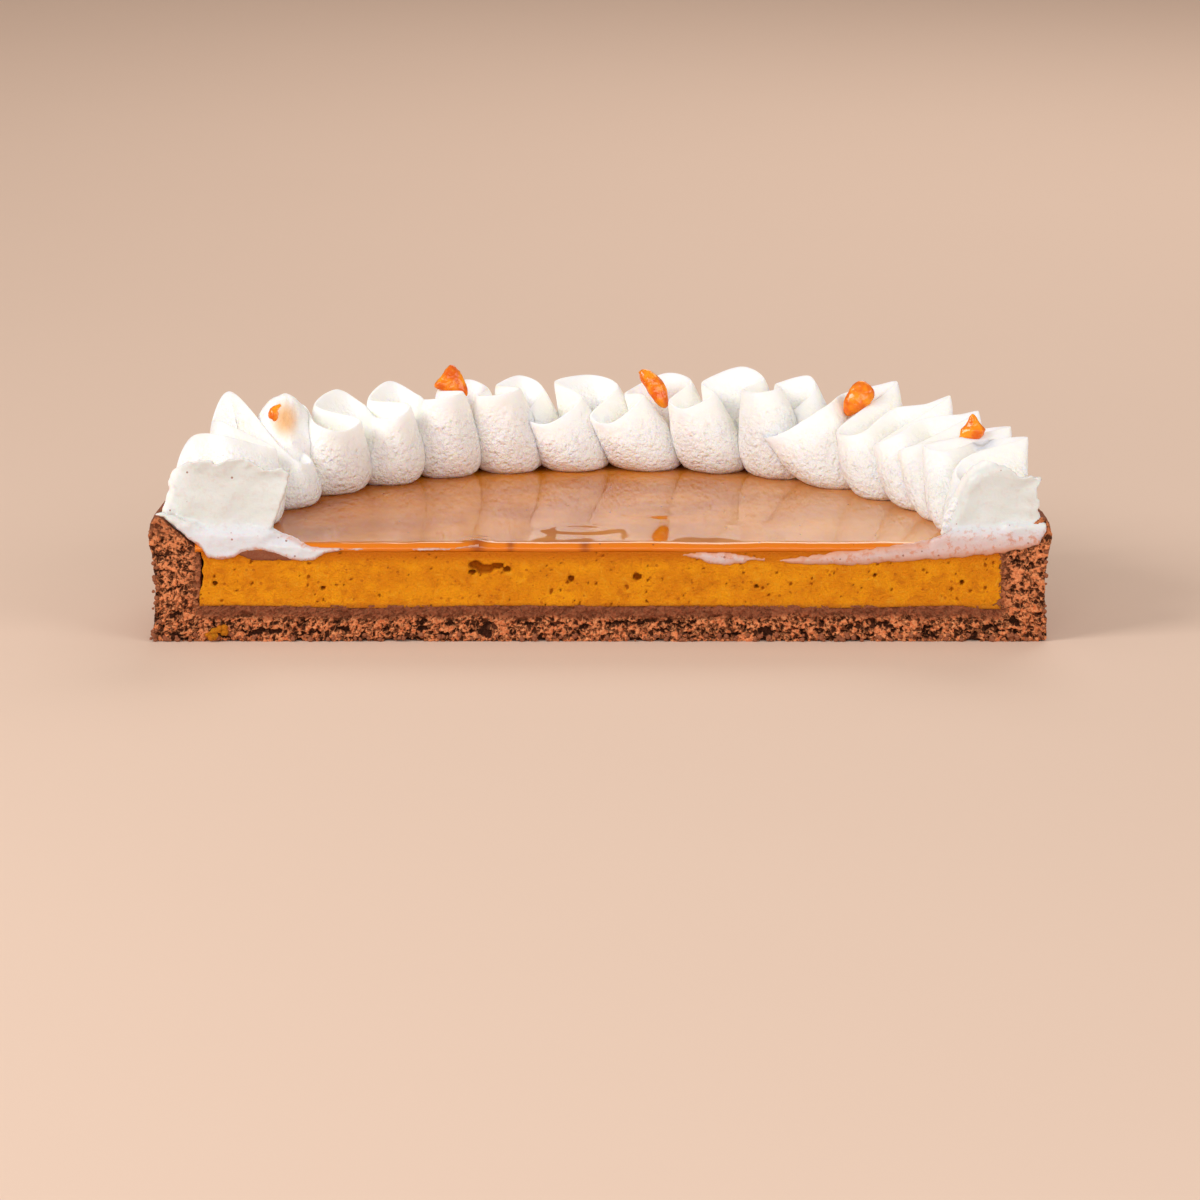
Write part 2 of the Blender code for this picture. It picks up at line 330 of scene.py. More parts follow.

# %% [markdown]
# ### Cocoa shortcrust
# Where the knife went through, the crust shows a coarse open crumb: pale reddish strands round
# hollows, which are painted near black as painted shade. Just under the custard it has soaked up
# moisture and is darker and denser. The mesh stores how close to the cut each spot lies as `cut` and
# how soaked it is as `soak`, and the colour follows them. The walls are painted a little lighter than the
# base.

# %% Cocoa shortcrust finish
crust_finish = Finish("cocoa_shortcrust", Specular_IOR_Level=0.25)
f = crust_finish
soak, cut = f.attribute("soak"), f.attribute("cut")
small, big = crumb_hollows(f, f.place)
open_share = cut * (1 - soak * 0.72)
grain = f.noise(f.place, 1.9, 4.0, 0.65)
mottle = f.noise(f.place, 0.2, 3.0, 0.55)
fine = f.noise(f.place, 4.2, 4.0, 0.7)
crumb = f.mix(grain.between(0.36, 0.66), (0.80, 0.19, 0.058), (1.0, 0.43, 0.18))
crumb = f.mix(mottle.between(0.3, 0.7) * 0.25, crumb, (0.66, 0.17, 0.055))
crumb = f.mix(f.z.between(8.0, 11.0) * cut * 0.35, crumb, (1.0, 0.35, 0.135))
crumb = f.mix((1 - cut) * (0.72 + mottle * 0.2), crumb, (0.24, 0.076, 0.038))
crumb = f.mix(soak * 0.8, crumb, (0.185, 0.045, 0.02))
crumb = f.mix(fine.between(0.55, 0.75) * soak * 0.35, crumb, (0.48, 0.16, 0.08))
# The hollows are painted near black: painted shade in the pits, which the relief tree also presses in.
crumb = f.mix((small * 0.9).math("MAXIMUM", big * 0.95) * open_share, crumb, (0.045, 0.009, 0.003))
f.paint(crumb, 0.86 - grain * 0.12, fine * 0.5 + grain * 0.8 - small * open_share * 1.4, 0.6)
print("cocoa shortcrust:", len(f.tree.nodes), "nodes")

# %% [markdown]
# ### Pumpkin custard
# The custard is a strong orange yellow, smooth but not shiny, with small pores whose insides are
# painted a deeper orange, as painted shade. Faint darker fibres of pumpkin run through it.

# %% Pumpkin custard finish
custard_finish = Finish(
    "pumpkin_custard", Roughness=0.5, Subsurface_Weight=0.2, Subsurface_Scale=0.001,
    Specular_IOR_Level=0.15,
)
f = custard_finish
f.shader.inputs["Subsurface Radius"].default_value = (1.0, 0.45, 0.1)
hollow = f.attribute("hollow")
cloud = f.noise(f.place, 0.16, 4.0, 0.6)
speck = f.noise(f.place, 1.7, 5.0, 0.7)
fibre = f.noise(f.place, 0.55, 5.0, 0.62, 0.8)
body = f.mix(cloud.between(0.35, 0.68), (0.80, 0.26, 0.001), (0.95, 0.36, 0.002))
body = f.mix(fibre.between(0.5, 0.68) * 0.55, body, (0.60, 0.16, 0.001))
body = f.mix(fibre.between(0.44, 0.32) * 0.5, body, (0.88, 0.39, 0.02))
body = f.mix(speck.between(0.58, 0.70) * 0.4, body, (0.50, 0.12, 0.002))
body = f.mix(speck.between(0.36, 0.28) * 0.7, body, (0.95, 0.50, 0.06))
pin = f.cells(f.place, 0.62)
# Dark flecks sit in the bump's small pits, in the same cells as pin: painted shade in the pits.
body = f.mix(f.flecks(0.62, 0.35, 0.2, 0.06) * 0.6, body, (0.50, 0.115, 0.001))
under_glaze = (f.z + cloud * 3 - 1.5).between(CUSTARD_TOP - 3.0, CUSTARD_TOP + 0.2)
body = f.mix(under_glaze * 0.85, body, (0.62, 0.145, 0.001))
body = f.mix(f.z.between(BASE_TOP + 1.0, BASE_TOP - 0.2) * 0.5, body, (0.42, 0.12, 0.01))
# Pores and hollows that the tree pressed in are painted a deeper orange: painted shade.
body = f.mix(hollow.between(0.05, 0.7) * 0.75, body, (0.48, 0.105, 0.001))
f.paint(body, None, f.noise(f.place, 1.9, 5.0, 0.7) - pin.between(0.2, 0.0) * 0.3, 0.8)
print("pumpkin custard:", len(f.tree.nodes), "nodes")

# %% [markdown]
# ### Amber glaze
# A clear sugar glaze over the custard: brown amber seen flat on, and a glowing orange along the
# thin edge at the cut. It is wet and glossy, so most of what is seen on top is the cream's
# reflection. Its colour is painted darker at the left and paler at the right, as painted light, and
# faint streaks of painted reflection run through it. Tiny dark flecks of spice float in it.

# %% Amber glaze finish
glaze_finish = Finish(
    "amber_glaze", Roughness=0.035, IOR=1.45, Subsurface_Weight=0.15, Subsurface_Scale=0.001,
)
f = glaze_finish
front = f.y.between(CUT_Y + 1.9, CUT_Y + 0.4)
cloud = f.noise(f.place, 0.055, 3.0, 0.55)
tone = f.mix(cloud.between(0.35, 0.68), (0.46, 0.125, 0.002), (0.62, 0.20, 0.004))
# Lighter and darker streaks: painted reflection of the cream's columns and the gaps between them.
reflection_streak = f.noise(f.vector("MULTIPLY", f.place, (0.075, 0.05, 0)), 1.0, 3.0, 0.5)
tone = f.mix(reflection_streak.between(0.46, 0.66) * 0.22, tone, (0.84, 0.38, 0.10))
tone = f.mix(reflection_streak.between(0.5, 0.36) * 0.25, tone, (0.42, 0.10, 0.001))
# Paler towards the right and darker towards the left: painted light.
tone = f.mix(f.x.between(5.0, 85.0) * 0.5, tone, (0.98, 0.54, 0.24))
tone = f.mix(f.x.between(-10.0, -75.0) * 0.5, tone, (0.44, 0.115, 0.001))
tone = f.mix(front, tone, (0.70, 0.18, 0.002))
tone = f.mix(f.attribute("pucker"), tone, (0.26, 0.04, 0.004))
tone = f.mix(f.flecks(0.42, 0.72, 0.11) * 0.85, tone, (0.10, 0.022, 0.006))
f.paint(tone)
print("amber glaze:", len(f.tree.nodes), "nodes")

# %% [markdown]
# ### Whipped cream
# Cream is white with a warm cast in its creases, where light has passed through it. It is satin at
# the pulled edges and finely pitted at the foot, where small air bubbles broke. Light scatters a few
# millimetres inside, which softens every shadow on it.

# %% Whipped cream finish
cream_finish = Finish(
    "whipped_cream", Roughness=0.5, Subsurface_Weight=0.5, Subsurface_Scale=0.0026,
    Specular_IOR_Level=0.35,
)
f = cream_finish
f.shader.inputs["Subsurface Radius"].default_value = (1.0, 0.78, 0.45)
foot, stain, crease = f.attribute("foot"), f.attribute("stain"), f.attribute("crease")
cloud = f.noise(f.place, 0.3, 3.0, 0.5)
white = f.mix(cloud.between(0.3, 0.7), (0.945, 0.94, 0.925), (0.97, 0.97, 0.965))
white = f.mix(foot * 0.2, white, (0.955, 0.94, 0.90))
white = f.mix(crease * 0.7, white, (0.98, 0.93, 0.79))
white = f.mix(stain, white, (0.86, 0.40, 0.05))
white = f.mix(f.flecks(0.33, 0.75, 0.13, 0.05) * foot * 0.45, white, (0.80, 0.60, 0.36))
pits = f.noise(f.place, 0.8, 3.0, 0.6)
bubbles = f.cells(f.place, 0.75)
f.paint(white, None, pits * (foot * 0.95 + 0.12) + bubbles.between(0.05, 0.4) * foot * 0.25, 1.15)
print("whipped cream:", len(f.tree.nodes), "nodes")

# %% [markdown]
# ### Candied brittle
# The chips are boiled sugar, clear orange with paler bubbles caught inside, and a hard wet shine.

# %% Candied brittle finish
candy_finish = Finish(
    "candied_brittle", Roughness=0.14, IOR=1.42, Coat_Weight=0.25, Coat_Roughness=0.04,
    Subsurface_Weight=0.35, Subsurface_Scale=0.0015,
)
f = candy_finish
f.shader.inputs["Subsurface Radius"].default_value = (1.0, 0.35, 0.08)
cloud = f.noise(f.place, 0.32, 2.0, 0.5)
bead = f.cells(f.place, 0.9)
sugar = f.mix(cloud.between(0.35, 0.65), (0.74, 0.125, 0.001), (0.96, 0.32, 0.006))
sugar = f.mix((1 - bead.between(0.05, 0.16)) * 0.35, sugar, (0.99, 0.52, 0.10))
f.paint(sugar, None, bead.between(0.05, 0.3) * 0.3 + cloud, 0.25)
print("candied brittle:", len(f.tree.nodes), "nodes")

# %% [markdown]
# ### Smeared cream
# The knife dragged a film of cream over the glaze's edge. Where it is thin, the amber shows through
# and gives it a lilac pink cast. The mesh stores its own thickness as `film`, and as `knife` where
# the blade pressed it smooth; that pressed face is painted a greyer white, as painted shade.

# %% Smear finish
smear_finish = Finish("smeared_cream", Roughness=0.35, Subsurface_Weight=0.25, Subsurface_Scale=0.001)
f = smear_finish
film = f.attribute("film")
cloud = f.noise(f.place, 0.7, 4.0, 0.65)
veil = f.mix(film.between(0.03, 0.3), (0.62, 0.27, 0.14), (0.64, 0.48, 0.46))
veil = f.mix(film.between(0.3, 0.8), veil, (0.68, 0.69, 0.73))
veil = f.mix(film.between(0.85, 1.0), veil, (0.90, 0.885, 0.86))
# The pressed face is painted a greyer white than the rest of the cream: painted shade.
veil = f.mix(f.attribute("knife"), veil, (0.69, 0.71, 0.685))
veil = f.mix(cloud.between(0.5, 0.66) * (1 - film.between(0.45, 0.9)) * 0.85, veil, (0.60, 0.25, 0.15))
veil = f.mix(f.flecks(0.5, 0.55, 0.13) * 0.8, veil, (0.28, 0.09, 0.05))
f.paint(veil, None, cloud, 0.15)
print("smear:", len(f.tree.nodes), "nodes")

# %% [markdown]
# ## Meshes from points and faces
# The pieces below are worked out as arrays of points, in millimetres from the tart's own centre on
# the cut. `solid` moves them to the frame, makes the mesh and stores extra numbers on its points.


# %% Mesh helpers
def raw_mesh(name, points, faces=()):
    """An object from points in mm, measured from the tart's centre."""
    mesh = bpy.data.meshes.new(name)
    spots = (np.asarray(points, float) + (0, CUT_Y, 0)) * MM
    mesh.from_pydata(spots.tolist(), [], [tuple(int(i) for i in face) for face in faces])
    return put(name, mesh)


def note(mesh, **numbers):
    """Stores numbers on the mesh's points, for its finish and its tree to read."""
    for key, values in numbers.items():
        values = np.asarray(values, np.float32)
        mesh.attributes.new(key, "FLOAT", "POINT").data.foreach_set("value", values)


def solid(name, points, faces, finish, **numbers):
    """A smooth closed mesh with its finish. Doubled points are merged and every face looks out."""
    obj = raw_mesh(name, points, faces)
    note(obj.data, **numbers)
    obj.data.materials.append(finish.material)
    work = bmesh.new()
    work.from_mesh(obj.data)
    bmesh.ops.remove_doubles(work, verts=work.verts[:], dist=1e-6)
    bmesh.ops.recalc_face_normals(work, faces=work.faces[:])
    work.to_mesh(obj.data)
    work.free()
    obj.data.shade_smooth()
    return obj


print("the tart's centre is at y =", round(CUT_Y, 2), "mm")

# %% [markdown]
# ### Modifiers that are kept
# Some pieces need a Remesh or a Smooth modifier, but later steps move the points that it makes. So
# the result is kept as a plain mesh and the modifier goes.


# %% Modifier helpers
def settle(obj):
    """Keeps what the object's modifiers make as its plain mesh, and removes them."""
    graph = bpy.context.evaluated_depsgraph_get()
    mesh = bpy.data.meshes.new_from_object(obj.evaluated_get(graph), depsgraph=graph)
    old = obj.data
    obj.modifiers.clear()
    obj.data = mesh
    bpy.data.meshes.remove(old)
    mesh.name = obj.name
    return mesh


def eased(obj, rounds):
    """Adds a Smooth modifier, which calms the points without losing the shape."""
    ease = obj.modifiers.new("ease", "SMOOTH")
    ease.factor, ease.iterations = 0.5, rounds


def reskinned(obj, voxel):
    """Adds a voxel Remesh, which makes one even skin round everything in the object."""
    skin = obj.modifiers.new("skin", "REMESH")
    skin.mode, skin.voxel_size = "VOXEL", voxel * MM


def stand_on_floor(obj):
    """Lifts every point that dips below the floor up to it."""
    for vertex in obj.data.vertices:
        vertex.co.z = max(vertex.co.z, 0.0)


def in_tart(obj):
    """The object's points in mm, measured from the tart's centre."""
    return np.array([v.co for v in obj.data.vertices]) / MM - (0, CUT_Y, 0)


print("Smooth and Remesh are ready for chips, films and cut ends")

# %% [markdown]
# ### Sums that shapes share
# Grids, even steps along a line, soft steps, bells and noise turn up in nearly every piece below.


# %% Number helpers
def grid_faces(rows, columns):
    """Quads of a grid of points that is stored row by row."""
    i = np.arange(rows - 1)[:, None] * columns + np.arange(columns - 1)[None, :]
    return np.stack([i, i + 1, i + columns + 1, i + columns], axis=-1).reshape(-1, 4)


def quads_between(loop):
    """Quads between the rows of a table of point numbers."""
    corners = [loop[:-1, :-1], loop[1:, :-1], loop[1:, 1:], loop[:-1, 1:]]
    return list(np.stack(corners, -1).reshape(-1, 4))


def along(path, count):
    """Points at even steps of length along a bent line."""
    path = np.asarray(path, float)
    steps = np.r_[0, np.cumsum(np.linalg.norm(np.diff(path, axis=0), axis=1))]
    at = steps[-1] * np.linspace(0, 1, count)
    return np.stack([np.interp(at, steps, path[:, i]) for i in range(path.shape[1])], axis=1)


def soft_step(x, low, high):
    t = np.clip((np.asarray(x, float) - low) / (high - low), 0, 1)
    return t * t * (3 - 2 * t)


def bell(x):
    """1 at 0, falling softly to 0 on both sides."""
    return np.exp(-(x**2))


def noise_at(x, y, z):
    """Blender's noise, from -1 to 1, at each place of three tables or numbers."""
    x, y, z = np.broadcast_arrays(x, y, z)
    spots = zip(x.ravel(), y.ravel(), z.ravel())
    return np.array([noise.noise(Vector(spot)) for spot in spots]).reshape(x.shape)


print("a grid of 3 by 4 points has", len(grid_faces(3, 4)), "quads")

# %% [markdown]
# ## Geometry trees
# `grow` runs a Geometry Nodes tree on an object and keeps the result as a plain mesh. The tree's
# inputs are set by their identifiers, which stay the same when a socket is renamed.


# %% Geometry helpers
def geometry_bench(name, inputs):
    tree = bpy.data.node_groups.new(name, "GeometryNodeTree")
    tree.interface.new_socket("Geometry", in_out="INPUT", socket_type="NodeSocketGeometry")
    for key, (kind, value) in inputs.items():
        socket = tree.interface.new_socket(key, in_out="INPUT", socket_type="NodeSocket" + kind)
        if value is not None:
            socket.default_value = value
    tree.interface.new_socket("Geometry", in_out="OUTPUT", socket_type="NodeSocketGeometry")
    bench = Bench(tree)
    bench.given = {s.name: Wire(bench, s) for s in bench.add("NodeGroupInput").outputs if s.name}
    return bench


def close_tree(bench, geometry, material):
    """Ends a tree in real geometry with its material set."""
    real = bench.add("GeometryNodeRealizeInstances", None, {0: geometry})
    dressed = bench.add("GeometryNodeSetMaterial", None, {"Geometry": real.outputs[0], "Material": material})
    bench.add("NodeGroupOutput", None, {0: dressed.outputs[0]})
    return bench.tree


def grow(obj, tree, **values):
    step = obj.modifiers.new(tree.name, "NODES")
    step.node_group = tree
    ids = {s.name: s.identifier for s in tree.interface.items_tree if s.in_out == "INPUT"}
    for key, value in values.items():
        step[ids[key.replace("_", " ")]] = value
    settle(obj)


print("every tree ends in Realize Instances and Set Material")


# %% [markdown]
# ## Crumb relief, as a geometry tree
# The cut crust could be painted with bump alone, but its hollows are over a millimetre deep and the
# edge of the case is ragged, so the points themselves are moved. Grains come from noise, hollows
# from the crumb pattern, and the soaked band stays denser. The same tree roughens the baked outside.

# %% Crumb relief tree
b = geometry_bench(
    "crumb_relief",
    {"Grain": ("Float", 1.0), "Hollow depth": ("Float", 1.3), "Baked skin": ("Float", 0.22)},
)
g = b.given
spot = b.scaled(b.add("GeometryNodeInputPosition").outputs[0], 1000.0)
face_w = b.named("cut")
open_w = 1 - b.named("soak") * 0.72
small, big = crumb_hollows(b, spot)
grain_h = b.noise(spot, 1.5, 3.0, 0.65) - 0.5
fine_h = b.noise(spot, 2.6, 3.0, 0.65) - 0.5
pit = (small * 0.6).math("MAXIMUM", big) * open_w
rise = (grain_h * 1.1 + fine_h * 0.5) * g["Grain"] * open_w - pit * g["Hollow depth"]
skin = (b.noise(spot, 0.35, 4.0, 0.65) - 0.5) * 2.2 + fine_h
skin = skin * g["Baked skin"] * (1 + face_w * 1.2)
out_move = b.scaled(b.add("GeometryNodeInputNormal").outputs[0], skin)
cut_move = b.add("ShaderNodeCombineXYZ", None, {1: rise * face_w * -1.0}).outputs[0]
whole = b.scaled(b.vector("ADD", out_move, cut_move), MM)
crumb_tree = close_tree(b, b.moved(g["Geometry"], "Offset", whole), crust_finish.material)
print("crumb relief tree:", len(b.tree.nodes), "nodes")

# %% [markdown]
# ## The cocoa case
# The case is a lathe shape cut in half, so its cut face is a U. The U is a fine grid of points that
# runs down one wall, across the base and up the other wall. Each point on the wall's outline starts
# an arc round the back to its mirror point, and the whole is one closed skin.

# %% Outline of the case
OUTSIDE = [(98.6, 28.3), (99.6, 27.9), (100.5, 26.7), (100.9, 24.4), (100.7, 22.0), (100.0, 18.5),
           (99.5, 14.0), (99.7, 7.0), (100.2, 2.2), (100.2, 0.6), (99.5, 0.0)]
INSIDE = [(90.3, 21.3), (89.6, 20.4), (89.4, 19.4), (89.4, 9.8), (88.9, 8.7), (87.8, 8.2)]
WALL_ROWS, BASE_ROWS, ACROSS = 84, 330, 34
wall_out, wall_in = along(OUTSIDE, WALL_ROWS), along(INSIDE, WALL_ROWS)
base_out = np.stack([np.linspace(wall_out[-1, 0], 0, BASE_ROWS), np.zeros(BASE_ROWS)], 1)
base_in = np.stack([np.linspace(wall_in[-1, 0], 0, BASE_ROWS), np.full(BASE_ROWS, BASE_TOP)], 1)
half_out = np.r_[wall_out, base_out[1:]]
half_in = np.r_[wall_in, base_in[1:]]
mirror = np.array([-1.0, 1.0])
u_out = np.r_[half_out * mirror, half_out[::-1][1:]]
u_in = np.r_[half_in * mirror, half_in[::-1][1:]]
share = np.linspace(0, 1, ACROSS)[None, :, None]
u_face = u_out[:, None, :] * (1 - share) + u_in[:, None, :] * share
print("cut face of the case:", u_face.shape[0], "by", u_face.shape[1], "points")


# %% Case skin
def rim_lift(x, z, angle):
    """The rim isn't level: it stands a little higher on the left, and waves."""
    wave = 0.35 * np.sin(angle * 5 + 0.6) + 0.22 * np.sin(angle * 13 + 2) - 0.45 * np.cos(angle)
    return soft_step(z, 15, 27) * soft_step(np.abs(x), 90.5, 97) * (wave + 0.1)


near_cut = np.radians([0, 0.15, 0.3, 0.5, 0.7, 0.9, 1.2, 1.6, 2.1, 2.7, 3.4])
arc = np.r_[near_cut, np.radians(np.arange(4.2, 175.9, 0.85)), math.pi - near_cut[::-1]]
rows_i = np.r_[np.arange(WALL_ROWS)[::-1], np.zeros(ACROSS - 2, int), np.arange(WALL_ROWS)]
rows_j = np.r_[np.full(WALL_ROWS, ACROSS - 1), np.arange(1, ACROSS - 1)[::-1], np.zeros(WALL_ROWS, int)]
front = np.zeros((*u_face.shape[:2], 3))
front[..., 0], front[..., 2] = u_face[..., 0], u_face[..., 1]
front[..., 2] += rim_lift(front[..., 0], front[..., 2], np.where(front[..., 0] < 0, math.pi, 0.0))
ring = u_face[rows_i, rows_j]
turn = math.pi - arc[1:-1]
body = np.zeros((len(turn), len(ring), 3))
body[..., 0] = -ring[None, :, 0] * np.cos(turn)[:, None]
body[..., 1] = -ring[None, :, 0] * np.sin(turn)[:, None]
body[..., 2] = ring[None, :, 1] + rim_lift(ring[None, :, 0], ring[None, :, 1], turn[:, None])
left_ids = rows_i * ACROSS + rows_j
right_ids = (len(u_face) - 1 - rows_i) * ACROSS + rows_j
body_ids = len(front) * ACROSS + np.arange(body[..., 0].size).reshape(body.shape[:2])
ids = np.vstack([left_ids[None], body_ids, right_ids[None]])
case_faces = list(grid_faces(len(front), ACROSS)) + quads_between(ids)
low_row = np.arange(WALL_ROWS - 1, len(u_face) - WALL_ROWS + 1)
case_faces.append(np.r_[low_row * ACROSS, ids[1:-1, -1][::-1]])
case_faces.append(np.r_[low_row * ACROSS + ACROSS - 1, ids[1:-1, 0][::-1]])
case_points = np.r_[front.reshape(-1, 3), body.reshape(-1, 3)]
print("case:", len(case_points), "points")

# %% Soak and crumb
x, y, z = case_points.T
radius = np.hypot(x, y)
waver = noise_at(x * 0.13, 3.1, z * 0.2) * 1.1
under_custard = soft_step(z, 4.4 + waver, 6.4 + waver) * soft_step(radius, 92.5, 89.0)
rim = soft_step(z, 22, 26) * 0.45
beside_custard = soft_step(radius, 92.2 + waver, 90.2 + waver) * soft_step(z, 5.5, 8.5) * 0.5
soaked = np.maximum(np.maximum(under_custard, rim), beside_custard)
crust = solid("crust_crumb", case_points, case_faces, crust_finish, cut=bell(y / 0.9), soak=soaked)
grow(crust, crumb_tree, Grain=0.9, Hollow_depth=1.5, Baked_skin=0.34)
stand_on_floor(crust)
crust.data.shade_smooth()
print("case:", len(crust.data.polygons), "faces")

# %% [markdown]
# ## The custard
# A half disc with a fine grid on the cut. Small pores lie all through baked custard, and a few
# bigger hollows show where air was trapped. The pores come from cells in a geometry tree. The big
# hollows are placed one by one, as ellipses whose depth the tree adds to the pores'.

# %% Custard tree
b = geometry_bench(
    "custard_pores",
    {"Pore depth": ("Float", 0.45), "Hollow depth": ("Float", 2.2), "Waviness": ("Float", 0.1)},
)
g = b.given
spot = b.scaled(b.add("GeometryNodeInputPosition").outputs[0], 1000.0)
face_w = b.named("cut")
bent = b.warped(spot, 0.9, (1.3, 1.3, 1.3))


def pores(scale, chance, radius):
    gap = b.cells(bent, scale) / scale
    return 1 - (gap / (b.chance(bent, scale).between(chance, 1.0) * radius + 0.001)).between(0.55, 1.0)


pore = pores(0.30, 0.5, 0.66).math("MAXIMUM", pores(0.62, 0.34, 0.42))
hole = (b.named("hole") + (b.noise(spot, 0.9, 3.0, 0.6) - 0.5) * 0.7).between(0.42, 0.72)
wave = (b.noise(spot, 0.35, 3.0, 0.6) - 0.5) * 1.6 + (b.noise(spot, 1.0, 3.0, 0.6) - 0.5) * 1.2
depth = pore * g["Pore depth"] + hole * g["Hollow depth"] + wave * g["Waviness"] * 2.0
push = b.add("ShaderNodeCombineXYZ", None, {1: depth * face_w * MM}).outputs[0]
noted = b.store(g["Geometry"], "hollow", pore.math("MAXIMUM", hole) * face_w)
custard_tree = close_tree(b, b.moved(noted, "Offset", push), custard_finish.material)
print("custard tree:", len(b.tree.nodes), "nodes")


# %% Half discs with a fine front
ARC_STEPS = 60


def half_disc(grid):
    """Closes a grid of front points (row by row, from low to high) with arcs round the back."""
    rows, columns = grid.shape[:2]
    turn = np.linspace(0, math.pi, ARC_STEPS + 1)[1:-1]
    back = np.zeros((rows, len(turn), 3))
    left, right = grid[:, :1], grid[:, -1:]
    middle, reach = (left[..., 0] + right[..., 0]) / 2, (right[..., 0] - left[..., 0]) / 2
    back[..., 0] = middle + reach * np.cos(turn)
    back[..., 1] = left[..., 1] + reach * np.sin(turn)
    back[..., 2] = left[..., 2]
    ids = np.arange(rows * columns).reshape(rows, columns)
    back_ids = rows * columns + np.arange(back[..., 0].size).reshape(rows, -1)
    loop = np.hstack([ids[:, -1:], back_ids, ids[:, :1]])
    faces = list(grid_faces(rows, columns)) + quads_between(loop)
    for row in (0, -1):
        faces.append(np.r_[ids[row], back_ids[row]])
    return np.r_[grid.reshape(-1, 3), back.reshape(-1, 3)], faces


print("a half disc closes with", ARC_STEPS, "steps round the back")

# %% Custard front
ACROSS_C, UP_C = 580, 40
xs = np.linspace(-89.2, 89.8, ACROSS_C)
low_edge = BASE_TOP - 0.15 + 0.35 * np.sin(xs * 0.09) * np.sin(xs * 0.031) - 0.7 * soft_step(xs, 80, 86)
grid = np.zeros((UP_C, ACROSS_C, 3))
grid[..., 0] = xs
grid[..., 2] = low_edge + (CUSTARD_TOP + 0.35 - low_edge) * np.linspace(0, 1, UP_C)[:, None]
# A dark gap has opened between the custard and the left wall
gap = noise_at(0.3, 0.0, grid[:, 0, 2] * 0.55)[:, None]
shrunk = (0.55 + 0.9 * gap) * soft_step(grid[..., 2], 11.5, 14) * soft_step(grid[..., 2], 20.3, 18.6)
shrunk = shrunk - 0.5 * soft_step(grid[..., 2], 13.0, 11.0)
grid[..., 0] += shrunk * soft_step(grid[..., 0], -84, -89)
print("custard front:", ACROSS_C, "by", UP_C, "points")

# %% Custard
HOLES = [  # across, height, half width and half height
    (-27.8, 17.5, 1.6, 1.0), (-25.8, 16.5, 2.2, 1.1), (-23.0, 17.3, 1.5, 0.8), (-20.8, 16.5, 0.9, 0.7),
    (-28.6, 15.9, 0.9, 0.5), (-6.5, 14.4, 0.75, 0.7), (8.3, 14.8, 1.1, 0.75), (-86.2, 13.3, 0.6, 0.5),
    (61.5, 15.2, 0.5, 0.4), (-62.0, 12.3, 0.5, 0.4), (35.0, 12.6, 0.5, 0.35), (81.0, 13.6, 0.5, 0.5),
]
hole = np.zeros(grid.shape[:2])
for across, height, wide, tall in HOLES:
    away = np.hypot((grid[..., 0] - across) / wide, (grid[..., 2] - height) / tall)
    hole = np.maximum(hole, soft_step(away, 1.5, 0.4))
custard_points, custard_faces = half_disc(grid)
behind = np.zeros(len(custard_points) - hole.size)
custard = solid(
    "pumpkin_custard", custard_points, custard_faces, custard_finish,
    cut=np.r_[np.ones(hole.size), behind], hole=np.r_[hole.ravel(), behind],
)
grow(custard, custard_tree, Pore_depth=0.5, Hollow_depth=2.0, Waviness=0.09)
custard.data.shade_smooth()
print("custard:", len(custard.data.polygons), "faces")

# %% [markdown]
# ## The glaze
# The glaze lies level, with a rounded wet lip where the knife pulled it over the cut. It is a sheet
# of rows: up the lip, then back over the top, to the arc. A few slow ripples and four raised ovals
# bend the reflections, the lip wanders as a poured edge does, and the knife puckered it in three
# places.

# %% Glaze sheet
LIP = [(0.5, 20.35), (0.1, 20.6), (-0.15, 20.95), (-0.2, 21.35), (-0.02, 21.75), (0.35, 22.1),
       (0.85, 22.33), (1.5, 22.45), (2.3, 22.5)]
R_GLAZE, COLUMNS_G, ROWS_G, UNDERSIDE = 90.6, 430, 84, 20.4
ang = np.linspace(-math.pi / 2, math.pi / 2, COLUMNS_G)
gx = R_GLAZE * (0.35 * np.sin(ang) + 0.65 * np.linspace(-1, 1, COLUMNS_G))
far = np.sqrt(np.maximum(R_GLAZE**2 - gx**2, 0))
wander = noise_at(gx * 0.055, 0.3, 0) * 0.55 + noise_at(gx * 0.19, 5.3, 0) * 0.22
rows_g = []
for yy, zz in along(LIP, 18):
    near_y = np.minimum(yy + wander * 0.8, np.maximum(far, 0.02))
    rows_g.append(np.stack([gx, near_y, np.full_like(gx, zz)], 1))
start = rows_g[-1][:, 1]
for v in np.linspace(0, 1, ROWS_G)[1:] ** 1.25:
    yy = start + (np.maximum(far, start + 0.01) - start) * v
    rows_g.append(np.stack([gx, yy, np.full_like(gx, LIP[-1][1])], 1))
top = np.array(rows_g)
print("glaze sheet:", top.shape[0], "rows of", top.shape[1])

# %% Swells and puckers
SWELLS = [  # across, back, half width, half depth and height
    (-4.5, 15.5, 7.0, 4.2, 0.1), (14.0, 34.0, 9.5, 5.4, 0.1), (33.0, 22.0, 5.0, 4.0, 0.04),
    (-27.3, 4.0, 3.0, 3.0, 0.16),
]
PUCKERS = [(-27.3, 1.0, 1.7), (-3.4, 0.6, 1.1), (-20.0, 0.6, 0.8)]  # across, back and size
tx, ty = top[..., 0], top[..., 1]
ripple = noise_at(tx * 0.05, ty * 0.035, 2.0) * 0.09 + noise_at(tx * 0.22, ty * 0.07, 7.0) * 0.03
for across, back, wide, deep, high in SWELLS:
    away = np.hypot((tx - across) / wide, (ty - back) / deep)
    ripple = ripple + high * (bell((away - 0.9) / 0.35) + 0.45 * bell(away / 0.8))
level = soft_step(top[..., 2], 21.6, 22.4)
